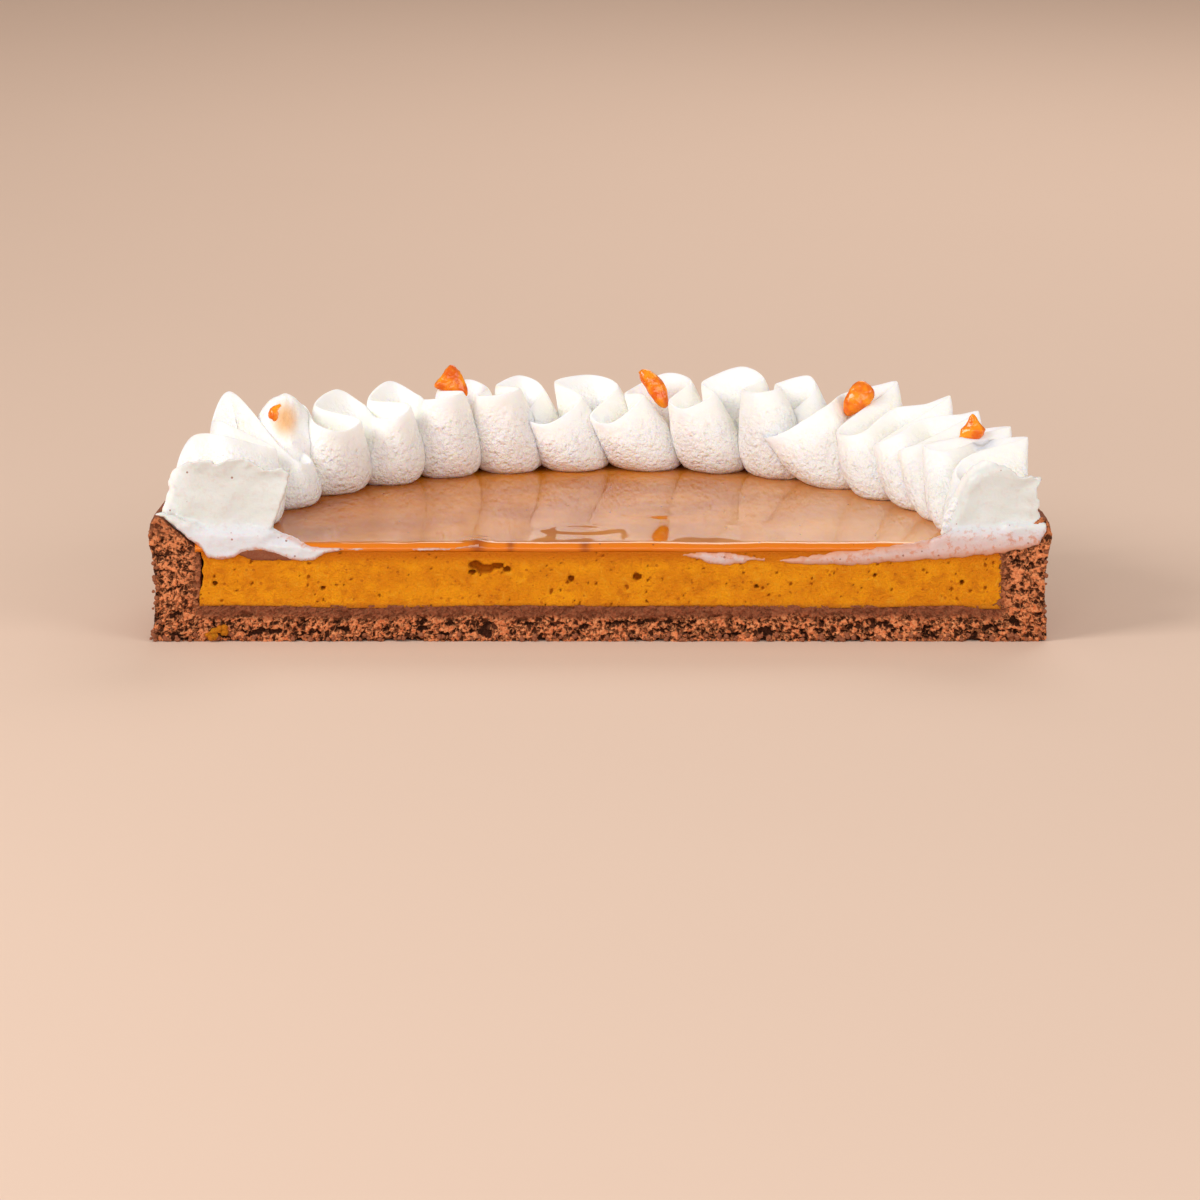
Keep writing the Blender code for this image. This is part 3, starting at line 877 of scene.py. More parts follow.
top[..., 2] += ripple * level + wander[None, :] * 0.35 * level * bell(ty / 4.0)
top[..., 2] += soft_step(np.hypot(tx, ty), 86.5, 90.0) * 0.1 * level
under = top[-1].copy()
under[:, 2] = UNDERSIDE
sheet = np.vstack([top, under[None]])
rows, columns = sheet.shape[:2]
pucker = np.zeros((rows, columns))
for across, back, wide in PUCKERS:
    aside, behind = (sheet[..., 0] - across) / wide, (sheet[..., 1] - back) / (wide * 1.4)
    pucker += 0.8 * np.exp(-(aside**2) - behind**2)
sheet[..., 2] += 0.55 * pucker * soft_step(sheet[..., 2], 21.0, 22.2) * bell((sheet[..., 0] + 27.3) / 3)
glaze_faces = list(grid_faces(rows, columns))
glaze_faces.append(np.r_[np.arange(columns), (rows - 1) * columns + np.arange(columns)[::-1][1:-1]])
pucker = np.clip(pucker, 0, 1).ravel()
glaze = solid("amber_glaze", sheet.reshape(-1, 3), glaze_faces, glaze_finish, pucker=pucker)
print("glaze:", len(glaze.data.polygons), "faces")

# %% [markdown]
# ## The piped ribbon
# A petal nozzle has one thick and one thin end. Held thick end down and swung back and forth, it
# leaves a ribbon standing on its thick foot, folded like a curtain. So the ribbon is a sweep between
# two paths: the foot's, on the glaze, and the thin edge's, higher and further out. The foot swings
# by a rule. The edge is given by where it turns, six places a fold: the left, middle and right of
# the lip at the front, then the left, middle and right of the loop at the back.

# %% Folds
FRONTS = (180, 165.5, 150, 137.2, 126, 115.3, 104.8, 94, 82.5, 71.5, 61, 49.5, 38.5, 28, 18.5, 9.3, 0)
PLACES = (-0.16, 0.0, 0.15, 0.36, 0.5, 0.66)  # of the six turns, as a share of a fold
EDGE = [  # a fold is six turns, and each turn is (angle in degrees, radius, height)
    [(183, 86, 38), (178, 84, 38), (173, 87, 38),
     (170, 96, 33), (165, 99, 35.5), (160, 99, 40)],
    [(163, 90, 42), (158.5, 84.5, 39), (154, 82.5, 37),
     (156.5, 94, 42.8), (153.5, 99, 42), (148.6, 99.5, 47)],
    [(150, 85, 36.5), (151, 78.6, 33.2), (146.4, 79.5, 32.4),
     (146, 89, 39.5), (141, 95.5, 43.4), (139, 91, 42.3)],
    [(143.5, 81, 40), (140.5, 76.8, 38.3), (134.2, 79.5, 39.2),
     (136.5, 91, 41.8), (129.5, 96.8, 43), (126.8, 92, 39.6)],
    [(129.8, 81, 38.8), (127.5, 77, 39), (123.8, 79.5, 41),
     (126.5, 90.5, 41.4), (120.8, 96.5, 43.4), (117.8, 91, 40.4)],
    [(120, 81, 41.5), (117.2, 77.5, 42.3), (113.6, 80, 42.8),
     (114.8, 90, 41.6), (109, 96.2, 42.2), (107, 90, 41)],
    [(111, 79.5, 41.6), (107.2, 77.2, 42), (103.6, 80.5, 42.6),
     (105.6, 90, 41.8), (101.4, 95.8, 42.6), (98.6, 90.5, 40.4)],
    [(102.6, 79.8, 35.8), (98.8, 76.4, 34.8), (93.2, 81, 39.4),
     (96.6, 91, 42), (91.5, 96.6, 42.2), (87.4, 91.5, 40.6)],
    [(91.6, 79.6, 35.8), (87.8, 76.4, 34.8), (83, 81.5, 40),
     (86, 90.5, 39.4), (81, 96.2, 42.8), (76.6, 92, 42.2)],
    [(78.6, 82, 39.2), (75, 77.6, 38.4), (71.4, 82.5, 41),
     (74.4, 91, 42.6), (70.2, 97.2, 45.2), (65.8, 93.5, 43.6)],
    [(66.6, 84, 42.6), (62.6, 79.8, 43), (60.2, 84, 43.6),
     (63.2, 92.5, 43), (60, 97.4, 44.4), (57.6, 92, 41.4)],
    [(61, 79, 33.4), (56.2, 76.3, 35), (50.6, 81.5, 41),
     (51.4, 92, 42.8), (48.8, 97.6, 44.2), (45.8, 98.8, 45.2)],
    [(46.4, 80.5, 37.4), (43, 77, 36.6), (40.2, 79, 37.6),
     (41, 90.5, 41.6), (38.6, 96, 42.4), (35.6, 99, 44.6)],
    [(37.2, 80.5, 35.8), (34.4, 77.3, 36.6), (32, 80.5, 39),
     (33.6, 90, 41.2), (31.2, 96, 42), (29, 98.8, 42.8)],
    [(29.6, 80.5, 35.8), (27.2, 77.2, 36.8), (25, 80.5, 38.4),
     (27.2, 90, 38.2), (24.6, 97, 40.6), (21.2, 100, 41.8)],
    [(21.6, 81.5, 39.4), (19.4, 78.2, 39.2), (16.2, 81, 39),
     (20.2, 92, 39.4), (18.6, 98, 40.4), (16, 100.6, 41)],
    [(13.2, 86, 38.8), (8, 80.6, 36.6), (3, 82.5, 35),
     (8, 92, 36), (3, 97.6, 34), (-4, 92, 32)],
]
print("folds:", len(EDGE), "with", len(PLACES), "turns each")

# %% [markdown]
# Both paths are smooth curves that are read at close steps of `u`, which counts the folds from the
# left. The foot's swing gets wider where the folds stand further apart.


# %% Ribbon paths
def through(at, places, values):
    """A smooth curve through the values (Catmull-Rom), read at the places asked for."""
    values = np.asarray(values, float)
    slope = np.gradient(values, places, axis=0)
    i = np.clip(np.searchsorted(places, at) - 1, 0, len(places) - 2)
    span = (places[i + 1] - places[i])[:, None]
    t = (at - places[i])[:, None] / span
    start, end = values[i], values[i + 1]
    return (
        start * (2 * t**3 - 3 * t**2 + 1) + end * (3 * t**2 - 2 * t**3)
        + (slope[i] * (t**3 - 2 * t**2 + t) + slope[i + 1] * (t**3 - t**2)) * span
    )


def fold_paths(u):
    """Foot and edge points of the ribbon, where u counts the folds from the left end."""
    turn = 2 * math.pi * u
    middle = np.interp(u, np.arange(len(FRONTS)), FRONTS)
    middle = np.where(u < 0, 180 - 13 * u, np.where(u > 16, -9.5 * (u - 16), middle))
    pitch = np.interp(u, np.arange(len(FRONTS)), np.abs(np.gradient(FRONTS)))
    uneven = np.sin(u * 2.399 + 1.0)
    swing = -pitch * ((0.125 + 0.015 * uneven) * np.sin(2 * turn) + 0.03 * np.cos(turn))
    back = ((1 - np.cos(turn)) / 2) ** 0.85
    near_middle = bell((u - 9.3) / 1.4) * 2.4 - bell((u - 1.0) / 0.7) * 2.5
    foot_r = 80.6 + 0.4 * uneven + near_middle
    foot_r = foot_r + back * (91.2 - foot_r)
    foot_a = np.radians(middle + swing)
    floor_z = np.maximum(GLAZE_TOP, 20.6 + (foot_r - 89.4) * 0.82) - 0.5
    foot = np.stack([foot_r * np.cos(foot_a), foot_r * np.sin(foot_a), floor_z], 1)
    turns = np.array([turn for fold in EDGE for turn in fold], float)
    places = np.array([k + share for k in range(len(EDGE)) for share in PLACES])
    edge_a, edge_r, edge_z = np.radians(turns[:, 0]), turns[:, 1], turns[:, 2]
    spots = np.stack([edge_r * np.cos(edge_a), edge_r * np.sin(edge_a), edge_z], 1)
    return foot, through(u, places, spots)


us = np.linspace(-0.15, 16.3, 1480)
foot_path, edge_path = fold_paths(us)
print("ribbon:", round(float(np.linalg.norm(np.diff(foot_path, axis=0), axis=1).sum())), "mm of piping")

# %% [markdown]
# The tree lays a grid whose columns follow the path and whose rows go up one side of the section
# and down the other. Two Sample Index nodes fetch the foot and edge points of a column, so both
# paths only need the same number of points.

# %% Ribbon sweep tree
SECTION = 44
b = geometry_bench(
    "piped_ribbon",
    {
        "Edge path": ("Object", None), "Columns": ("Int", 100), "Section": ("Int", SECTION),
        "Foot half": ("Float", 4.0), "Edge half": ("Float", 0.5), "Lump": ("Float", 0.5),
        "Start": ("Float", 0.0), "Span": ("Float", 16.0),
    },
)
g = b.given
foot_points = b.add("GeometryNodeMeshToPoints", None, {"Mesh": g["Geometry"]}).outputs[0]
guide = b.add("GeometryNodeObjectInfo", {"transform_space": "ORIGINAL"}, {"Object": g["Edge path"]})
edge_points = b.add("GeometryNodeMeshToPoints", None, {"Mesh": guide.outputs["Geometry"]}).outputs[0]
place_field = b.add("GeometryNodeInputPosition").outputs[0]
sheet_grid = b.add("GeometryNodeMeshGrid", None, {"Vertices X": g["Columns"], "Vertices Y": g["Section"]})
number = b.wire("GeometryNodeInputIndex")
column = (number / g["Section"]).math("FLOOR")
row = number - column * g["Section"]


def path_point(points, at):
    return b.add(
        "GeometryNodeSampleIndex", {"data_type": "FLOAT_VECTOR", "domain": "POINT", "clamp": True},
        {"Geometry": points, "Value": place_field, "Index": at},
    ).outputs[0]


foot_at, edge_at = path_point(foot_points, column), path_point(edge_points, column)
ahead = b.vector("ADD", path_point(foot_points, column + 1), path_point(edge_points, column + 1))
behind = b.vector("ADD", path_point(foot_points, column - 1), path_point(edge_points, column - 1))
going = b.vector("MULTIPLY", b.vector("SUBTRACT", ahead, behind), (1, 1, 0))
side = b.vector("NORMALIZE", b.vector("CROSS_PRODUCT", going, (0, 0, 1)))
print("paths read by column:", foot_at.name, "and", edge_at.name)

# %% [markdown]
# Next the section. `even` climbs from 0 at the foot to 1 at the thin edge, and the same on the way
# down, and `half` is how far the skin lies to the side there.

# %% Ribbon section
EVEN_STEPS = [(0, 0), (0.12, 0.03), (0.5, 0.5), (0.88, 0.965), (1, 1)]  # closer rows at both ends
THICKNESS = [(0, 0.0), (0.03, 0.42), (0.12, 0.86), (0.26, 1.0), (0.42, 0.93), (0.62, 0.68), (0.82, 0.36),
             (0.95, 0.16), (1.0, 0.0)]
round_share = row / (g["Section"] - 1)
up_share = 1 - (round_share * 2 - 1).math("ABSOLUTE")
which = (round_share - 0.5).math("SIGN")
even = b.wire("ShaderNodeFloatCurve", {"curve": EVEN_STEPS}, {"Value": up_share})
thick = b.wire("ShaderNodeFloatCurve", {"curve": THICKNESS}, {"Value": even})
thin = g["Edge half"] * ((1 - even) * 26).math("MINIMUM", 1.0).math("SQRT")
half = (thick * g["Foot half"]).math("MAXIMUM", thin)
half = half * (even * 40).math("MINIMUM", 1.0)
lean = even.math("POWER", 1.2)
spine = b.vector("ADD", b.scaled(foot_at, 1 - lean), b.scaled(edge_at, lean))
spine = b.vector("MULTIPLY_ADD", spine, (1, 1, 0), (0, 0, 0))
foot_z = b.wire("ShaderNodeSeparateXYZ", None, {0: foot_at}, 2)
edge_z = b.wire("ShaderNodeSeparateXYZ", None, {0: edge_at}, 2)
height = b.add("ShaderNodeCombineXYZ", None, {2: foot_z + (edge_z - foot_z) * even}).outputs[0]
shape = b.vector("ADD", b.vector("ADD", spine, height), b.scaled(side, half * which * MM))
print("ribbon section:", SECTION, "points round")

# %% [markdown]
# Last, the numbers that the finish reads, and the cream's lumps, which are strongest at the foot.

# %% Ribbon skin
swept = b.moved(sheet_grid.outputs[0], "Position", shape)
marked = b.store(swept, "foot", even.between(1.0, 0.55))
phase = (column / (g["Columns"] - 1) * g["Span"] + g["Start"]) * (4 * math.pi)
crease_w = (0.5 - phase.math("COSINE") * 0.5).between(0.35, 1.0) * (1 - even * 0.55)
marked = b.store(marked, "crease", crease_w)
joined = b.add("GeometryNodeMergeByDistance", None, {"Geometry": marked, "Distance": 2e-6}).outputs[0]
where = b.scaled(place_field, 1000.0)
soft_lump = (b.noise(where, 0.16, 2.0, 0.5) - 0.5) * 1.5
dimples = (0.5 - b.cells(where, 0.5)).math("MAXIMUM", 0.0) * 0.22
coarse = (b.noise(where, 0.6, 4.0, 0.62) - 0.5) * 0.8 - dimples
foot_w = b.named("foot")
lumps = (soft_lump * (foot_w * 0.7 + 0.3) + coarse * (foot_w * 0.9 + 0.1)) * g["Lump"] * MM
normal = b.add("GeometryNodeInputNormal").outputs[0]
ribbon_tree = close_tree(b, b.moved(joined, "Offset", b.scaled(normal, lumps)), cream_finish.material)
print("ribbon tree:", len(b.tree.nodes), "nodes")


# %% Sweep the ribbon
def close_ends(obj):
    """Fills any open end and turns all faces out."""
    work = bmesh.new()
    work.from_mesh(obj.data)
    bmesh.ops.holes_fill(work, edges=[e for e in work.edges if e.is_boundary])
    bmesh.ops.recalc_face_normals(work, faces=work.faces[:])
    work.to_mesh(obj.data)
    work.free()


ribbon, edge_guide = raw_mesh("cream_ribbon", foot_path), raw_mesh("edge_guide", edge_path)
grow(
    ribbon, ribbon_tree, Edge_path=edge_guide, Columns=len(us), Section=SECTION,
    Foot_half=4.15, Edge_half=0.5, Lump=0.55, Start=us[0], Span=us[-1] - us[0],
)
bpy.data.objects.remove(edge_guide)
close_ends(ribbon)
KNIFE_Y = (CUT_Y + 2.2) * MM  # what bulges in front of this is pressed back to it
for vertex in ribbon.data.vertices:
    if vertex.co.y < KNIFE_Y:
        vertex.co.y = KNIFE_Y + (vertex.co.y - KNIFE_Y) * 0.02
ribbon.data.shade_smooth()
print("cream ribbon:", len(ribbon.data.polygons), "faces")

# %% [markdown]
# ## The cut ends of the ribbon
# The knife pressed both ends flat and smooth, and pulled their edges into small points. Each end is
# a loft: rings that shrink to the middle of the outline make the slightly hollow face, and the same
# outline carried back makes the body, which sinks into the folds behind it.

# %% Outlines of the cut ends
LEFT_END = [  # across and height
    (-72.6, 22.3), (-85.0, 21.6), (-92.0, 23.6), (-98.0, 27.6), (-97.4, 31.0), (-96.9, 33.5),
    (-96.0, 38.0), (-93.3, 40.2), (-90.0, 41.3), (-87.3, 41.2), (-85.5, 40.7), (-83.0, 41.4),
    (-79.3, 41.9), (-77.9, 41.0), (-76.4, 40.3), (-74.0, 39.3), (-71.6, 39.5), (-69.7, 38.5),
    (-69.9, 36.8), (-70.6, 34.0), (-71.8, 30.4), (-73.3, 26.6), (-74.6, 24.4),
]
RIGHT_END = [
    (76.8, 22.9), (78.6, 29.8), (80.0, 34.6), (82.2, 38.2), (85.1, 40.4), (87.8, 40.6),
    (90.4, 39.9), (92.2, 38.8), (93.6, 38.0), (96.2, 37.6), (98.7, 37.7), (98.2, 36.0),
    (97.4, 34.6), (98.4, 31.6), (97.8, 29.8), (98.4, 27.2), (92.0, 23.4), (86.0, 22.3),
]
FACE_SIZES = (0.03, 0.12, 0.24, 0.36, 0.48, 0.6, 0.7, 0.79, 0.87, 0.93, 0.97, 0.99)
BODY_SIZES = [(0.35, 1.0), (0.8, 1.004), (1.5, 1.0), (2.6, 0.985), (4.0, 0.96), (5.8, 0.92),
              (7.8, 0.85), (9.6, 0.72), (11.0, 0.5), (11.6, 0.2), (11.7, 0.03)]  # depth and size


def smooth_loop(points, count):
    """A closed Catmull-Rom curve through the points, at even steps."""
    p = np.asarray(points, float)
    out = []
    for i in range(len(p)):
        a, c, d, e = p[i - 1], p[i], p[(i + 1) % len(p)], p[(i + 2) % len(p)]
        for t in np.linspace(0, 1, 12, endpoint=False):
            bend = (2 * a - 5 * c + 4 * d - e) * t**2 + (3 * c - a - 3 * d + e) * t**3
            out.append(0.5 * (2 * c + (d - a) * t + bend))
    return along(np.array(out + out[:1]), count + 1)[:-1]


print("outline points:", len(LEFT_END), "and", len(RIGHT_END))


# %% Cut end
def cut_end(outline, dish, back_shift, soft_side):
    """A lump with a pressed, slightly hollow face. soft_side says where its shoulder is round."""
    rim = smooth_loop(outline, 140)
    middle = rim.mean(0)
    shoulder = soft_step(rim[:, 0], *soft_side) * 3.4
    rings = []
    for size in FACE_SIZES:
        y = 0.2 + dish * (1 - size**2.6) + shoulder * max(0, (size - 0.62) / 0.38) ** 2.4
        rings.append((middle + (rim - middle) * size, y))
    for y, size in BODY_SIZES:
        spots = middle + (rim - middle) * size + np.array(back_shift) * y / BODY_SIZES[-1][0]
        rings.append((spots, y + shoulder * max(0, 1 - y / 9)))
    points = []
    for spots, y in rings:
        x, z = spots.T
        sway = noise_at(x * 0.16, y * 0.2, z * 0.16) * 0.9 + noise_at(x * 0.5, y * 0.5, z * 0.5) * 0.22
        lift = 0.5 * noise_at(x * 0.6, 4.0, z * 0.6) + 0.55 * noise_at(x * 1.1, 2.0, z * 1.1)
        lift *= soft_step(np.hypot(x - middle[0], z - middle[1]), 6.0, 11.0)
        points.append(np.stack([x + lift, y + sway * 0.5, z + lift], 1))
    number = np.arange(len(rings) * len(rim)).reshape(len(rings), -1)
    faces = [number[0], number[-1]] + quads_between(np.hstack([number, number[:, :1]]))
    return solid("lump", np.concatenate(points), faces, smear_finish)


print("a cut end has", len(FACE_SIZES) + len(BODY_SIZES), "rings")

# %% [markdown]
# ## Candied brittle
# Each chip broke off a poured sheet, so it is flat, with a broken outline and edges the sugar has
# rounded. The chip is a copy of its CAD solid with a finer skin: merged, remeshed, pinched towards
# the top, and then lumped by a little noise.

# %% Chips
TAPERS = {"candied_piece_5": 0.75, "candied_piece_3": 0.0}  # how pointed a chip's top is
chips = []
for name, node in sorted(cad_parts.items()):
    if not name.startswith("candied_piece"):
        continue
    label = name.replace("candied_piece", "brittle")
    chip = put(label, node.data.copy())
    chip.data.materials.clear()
    chip.data.materials.append(candy_finish.material)
    work = bmesh.new()
    work.from_mesh(chip.data)
    bmesh.ops.remove_doubles(work, verts=work.verts[:], dist=1e-6)
    work.to_mesh(chip.data)
    work.free()
    reskinned(chip, 0.28)
    eased(chip, 2)
    fine = settle(chip)
    normals = [v.normal.copy() for v in fine.vertices]
    tip = max(v.co.z for v in fine.vertices)
    core = sum((v.co for v in fine.vertices), Vector()) / len(fine.vertices)
    for vertex, normal in zip(fine.vertices, normals):
        rise = max(0.0, (vertex.co.z - core.z) / (tip - core.z))
        pinch = 1 - TAPERS.get(name, 0.15) * rise**0.8
        vertex.co.x = core.x + (vertex.co.x - core.x) * pinch
        vertex.co.y = core.y + (vertex.co.y - core.y) * pinch
        spot = vertex.co / MM
        lump = 0.22 * noise.noise(spot * 0.45) + 0.12 * noise.noise(spot * 1.3) + 0.28
        vertex.co += normal * MM * lump
    fine.shade_smooth()
    chips.append((chip, name))
print("chips:", [(c.name, len(c.data.polygons)) for c, _ in chips])

# %% [markdown]
# ## Smears along the glaze
# A smear is a film of cream of uneven thickness on the cut face. It is drawn as a field of thickness
# over the cut, and only where the field is above zero does a sheet get points, in front and behind.
# A lens of crumb that was dragged along with the cream is made in the same way.


# %% Smear sheets
def between_lines(low, high, x_range, z_range, slope=1.1):
    """A film between two bent lines, in mm. It reaches full thickness slope mm inside them."""
    low, high = np.array(low, float).T, np.array(high, float).T

    def field(x, z):
        return np.minimum(z - np.interp(x, *low), np.interp(x, *high) - z) / slope

    field.reach = x_range, z_range
    return field


def smear(name, field, strength=1.0, step=0.2, finish=smear_finish):
    """A closed film that follows the cut, as thick as the field says, where the field is above 0."""
    x_range, z_range = field.reach
    gx, gz = np.meshgrid(np.arange(*x_range, step), np.arange(*z_range, step))
    rag = noise_at(gx * 0.45, 1.7, gz * 0.7) * 0.7 + noise_at(gx * 1.5, 5.0, gz * 1.7) * 0.35
    film = field(gx, gz) + rag * 0.5
    keep = film > 0.0
    cell = keep[:-1, :-1] & keep[1:, :-1] & keep[1:, 1:] & keep[:-1, 1:]
    used = np.zeros_like(keep)
    for down, over in ((0, 0), (1, 0), (1, 1), (0, 1)):
        used[down : down + cell.shape[0], over : over + cell.shape[1]] |= cell
    # The film lies on the flat cut, bends over the glaze's rounded lip and dives into the cream
    aside = np.abs(gx)
    back = 0.05 + soft_step(gz, 21.9, 23.4) * soft_step(aside, 76, 70) * 1.6
    back = back + soft_step(gz, 24.0, 29.0) * soft_step(aside, 68, 76) * soft_step(aside, 92, 88) * 3.0
    swell = np.clip(film, 0, 1) * strength
    thick = 0.06 + 0.62 * np.sqrt(swell) + 0.18 * rag * swell
    number = np.full(keep.shape, -1)
    count = int(used.sum())
    number[used] = np.arange(count)
    front_p = np.stack([gx[used], (back - thick)[used], gz[used]], 1)
    back_p = np.stack([gx[used], back[used] + 0.9, gz[used]], 1)
    r, c = np.nonzero(cell)
    quads = np.stack([number[r, c], number[r, c + 1], number[r + 1, c + 1], number[r + 1, c]], 1)
    faces = [tuple(q) for q in quads] + [tuple(q[::-1] + count) for q in quads]
    sides = {}
    for q in quads:
        for pair in zip(q, np.roll(q, -1)):
            sides.setdefault(frozenset(pair), []).append(pair)
    rims = [pairs[0] for pairs in sides.values() if len(pairs) == 1]
    faces += [(end, begin, begin + count, end + count) for begin, end in rims]
    numbers = {"film": np.tile(swell[used], 2)}
    if finish is crust_finish:
        numbers = {"soak": np.full(2 * count, 0.45)}
    made = solid(name, np.r_[front_p, back_p], faces, finish, **numbers)
    eased(made, 3)
    settle(made).shade_smooth()
    return made


print("a film is a sheet of points every 0.2 mm")

# %% Films
left_film = between_lines(
    [(-97.4, 28.4), (-93, 24.2), (-89.2, 21.4), (-87.8, 19.2), (-84.9, 18.6), (-82.2, 19.0),
     (-80, 20.4), (-76, 20.8), (-73.2, 20.0), (-68.8, 18.7), (-66, 18.2), (-63.8, 18.6),
     (-61.6, 19.9), (-58, 20.8), (-54, 21.2)],
    [(-97.4, 29.4), (-94, 28.4), (-88, 26.6), (-74, 26.4), (-71, 24.6), (-67.5, 23.2),
     (-64, 22.0), (-60, 21.8), (-54, 21.6)],
    (-99.5, -53.0), (17.0, 30.6),
)
left_line = between_lines(
    [(-60, 20.8), (-48, 20.95), (-34, 20.9), (-28, 21.6)],
    [(-60, 21.6), (-48, 21.45), (-34, 21.5), (-27, 22.4)],
    (-60.0, -27.0), (19.6, 23.0), 0.8,
)
right_film = between_lines(
    [(38, 18.6), (45, 17.7), (56.4, 17.2), (65, 18.2), (76, 18.7), (87, 19.8), (92.6, 20.7),
     (96.3, 21.2), (98.4, 22.2), (99.6, 24.6)],
    [(38, 18.7), (45, 19.7), (56.4, 21.2), (65, 22.1), (72.8, 23.0), (76, 24.4), (80, 26.2),
     (96, 27.2), (99.6, 27.2)],
    (37.0, 100.0), (16.4, 30.6), 1.3,
)
right_patch = between_lines(
    [(18.5, 19.6), (27, 17.4), (36, 18.4)], [(18.5, 20.2), (27, 20.9), (36, 19.4)],
    (18.0, 37.0), (16.6, 22.0), 1.5,
)
crumb_patch = between_lines(
    [(-81.6, 20.2), (-78, 18.6), (-73, 18.4), (-68.4, 18.7)],
    [(-81.6, 20.4), (-78, 22), (-72, 21.6), (-68.4, 19.4)],
    (-82.0, -68.0), (17.6, 22.6), 0.8,
)
smears = [
    smear("cream_line_left", left_line, 0.5, 0.14),
    smear("cream_patch_right", right_patch, 0.4, 0.16),
]
lens = smear("crumb_lens", crumb_patch, 0.35, 0.2, crust_finish)
print("smears:", [(s.name, len(s.data.polygons)) for s in smears])

# %% [markdown]
# The film and the lump it was dragged from are one mass of cream. So the two are joined, and a voxel
# remesh makes one skin round both, with no seam. A remesh drops the numbers on the points, so the
# film's thickness is worked out again from the same field.


# %% Fuse lumps and films
def fuse(name, lump, film, field, strength):
    work = bmesh.new()
    for part in (lump, film):
        work.from_mesh(part.data)
        bpy.data.objects.remove(part)
    both = bpy.data.meshes.new(name)
    work.to_mesh(both)
    work.free()
    both.materials.append(smear_finish.material)
    obj = put(name, both)
    reskinned(obj, 0.3)
    eased(obj, 2)
    mesh = settle(obj)
    x, y, z = in_tart(obj).T
    low = soft_step(z, 27.0, 21.5)
    film_share = 0.8 * (1 - low * (1 - np.clip(field(x, z) * strength + 0.08, 0, 1)))
    film_share += (1 - film_share) * soft_step(y, 1.1, 2.6)
    note(mesh, film=film_share, knife=soft_step(y, 3.2, 1.4) * soft_step(z, 24.5, 28.5) * 0.9)
    mesh.shade_smooth()
    return obj


left_end = cut_end(LEFT_END, 1.1, (1.5, -2.0), (-90.0, -96.0))
left_end = fuse("cream_end_left", left_end, smear("film", left_film), left_film, 0.75)
right_end = cut_end(RIGHT_END, 1.0, (-1.0, -1.5), (93.0, 84.0))
right_end = fuse("cream_end_right", right_end, smear("film", right_film, 0.75), right_film, 0.16)
print("knife ends:", len(left_end.data.polygons), "and", len(right_end.data.polygons), "faces")

# %% [markdown]
# ## A mound over the first chip
# One loop of the ribbon sagged into a soft mound that swallowed most of the first chip. An uneven
# ball is stretched along the rim and upwards, and leans towards the cut.

# %% Mound
low_corner, high_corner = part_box("candied_piece_1")
first = np.array((low_corner + high_corner) / 2) / MM - (0, CUT_Y, 0)
heart = first + (1.2, 2.5, -5.0)
MOUND_HALF = (7.2, 5.6, 9.2)  # along the rim, outwards and up
turn = math.radians(144.0)
work = bmesh.new()
bmesh.ops.create_icosphere(work, subdivisions=5, radius=1.0)
for vertex in work.verts:
    wobble = 1 + 0.07 * noise.noise(vertex.co * 1.7) + 0.03 * noise.noise(vertex.co * 5)
    rim_way, outward, up = (a * half * wobble for a, half in zip(vertex.co, MOUND_HALF))
    lean = -0.22 * min(up, 3.0)
    x = heart[0] - math.sin(turn) * rim_way + math.cos(turn) * outward + lean
    y = heart[1] + math.cos(turn) * rim_way + math.sin(turn) * outward - lean * 1.6
    vertex.co = (x, y, heart[2] + up)
work.verts.index_update()
mound_points = [v.co[:] for v in work.verts]
mound_faces = [[v.index for v in f.verts] for f in work.faces]
work.free()
mound = solid("cream_mound", mound_points, mound_faces, cream_finish, foot=[0.25] * len(mound_points))
print("mound:", len(mound.data.polygons), "faces, heart at", heart.round(1))

# %% [markdown]
# The first chip leans in the cream behind a fold and has stained it orange. The stain is a number
# stored on the points of the ribbon and the mound, by their distance from that chip.

# %% Stain
for piece in (ribbon, mound):
    away = (in_tart(piece) - first - (1.2, -1.0, -1.0)) / (2.8, 4.0, 4.0)
    stained = soft_step(np.sqrt((away**2).sum(1)), 1.5, 0.3) * 0.75
    note(piece.data, stain=stained)
    print(piece.name, "stained points:", int((stained > 0.05).sum()))

# %% [markdown]
# ## Crumbs
# Loose crumbs cling to the foot of the cut and to the outer edges of both walls, and a few bits of
# custard fell in front of the base. One little crumb of a few dozen faces is scattered by a geometry
# tree over strips of face, turned and sized at random from a fixed seed.

# %% Crumb scatter tree
b = geometry_bench(
    "crumb_scatter",
    {
        "Density": ("Float", 5e5), "Least": ("Float", 0.3), "Most": ("Float", 0.9), "Seed": ("Int", 1),
        "Finish": ("Material", None),
    },
)
g = b.given
thrown = b.add(
    "GeometryNodeDistributePointsOnFaces", None,
    {"Mesh": g["Geometry"], "Density": g["Density"], "Seed": g["Seed"]},
)
crumb_ball = b.add("GeometryNodeMeshIcoSphere", None, {"Radius": 0.5 * MM, "Subdivisions": 2})
where = b.add("GeometryNodeInputPosition").outputs[0]
rough = b.add("ShaderNodeTexNoise", None, {"Vector": where, "Scale": 1500.0, "Detail": 2.0})
offset = b.scaled(b.vector("SUBTRACT", rough.outputs["Color"], (0.5, 0.5, 0.5)), 0.0007)
crumb_bit = b.moved(crumb_ball.outputs[0], "Offset", offset)
spin = b.add(
    "FunctionNodeRandomValue", {"data_type": "FLOAT_VECTOR"},
    {0: (0, 0, 0), 1: (6.28, 6.28, 6.28), "Seed": g["Seed"]},
).outputs[0]
size = b.add(
    "FunctionNodeRandomValue", {"data_type": "FLOAT"}, {2: g["Least"], 3: g["Most"], "Seed": g["Seed"]}
).outputs[1]
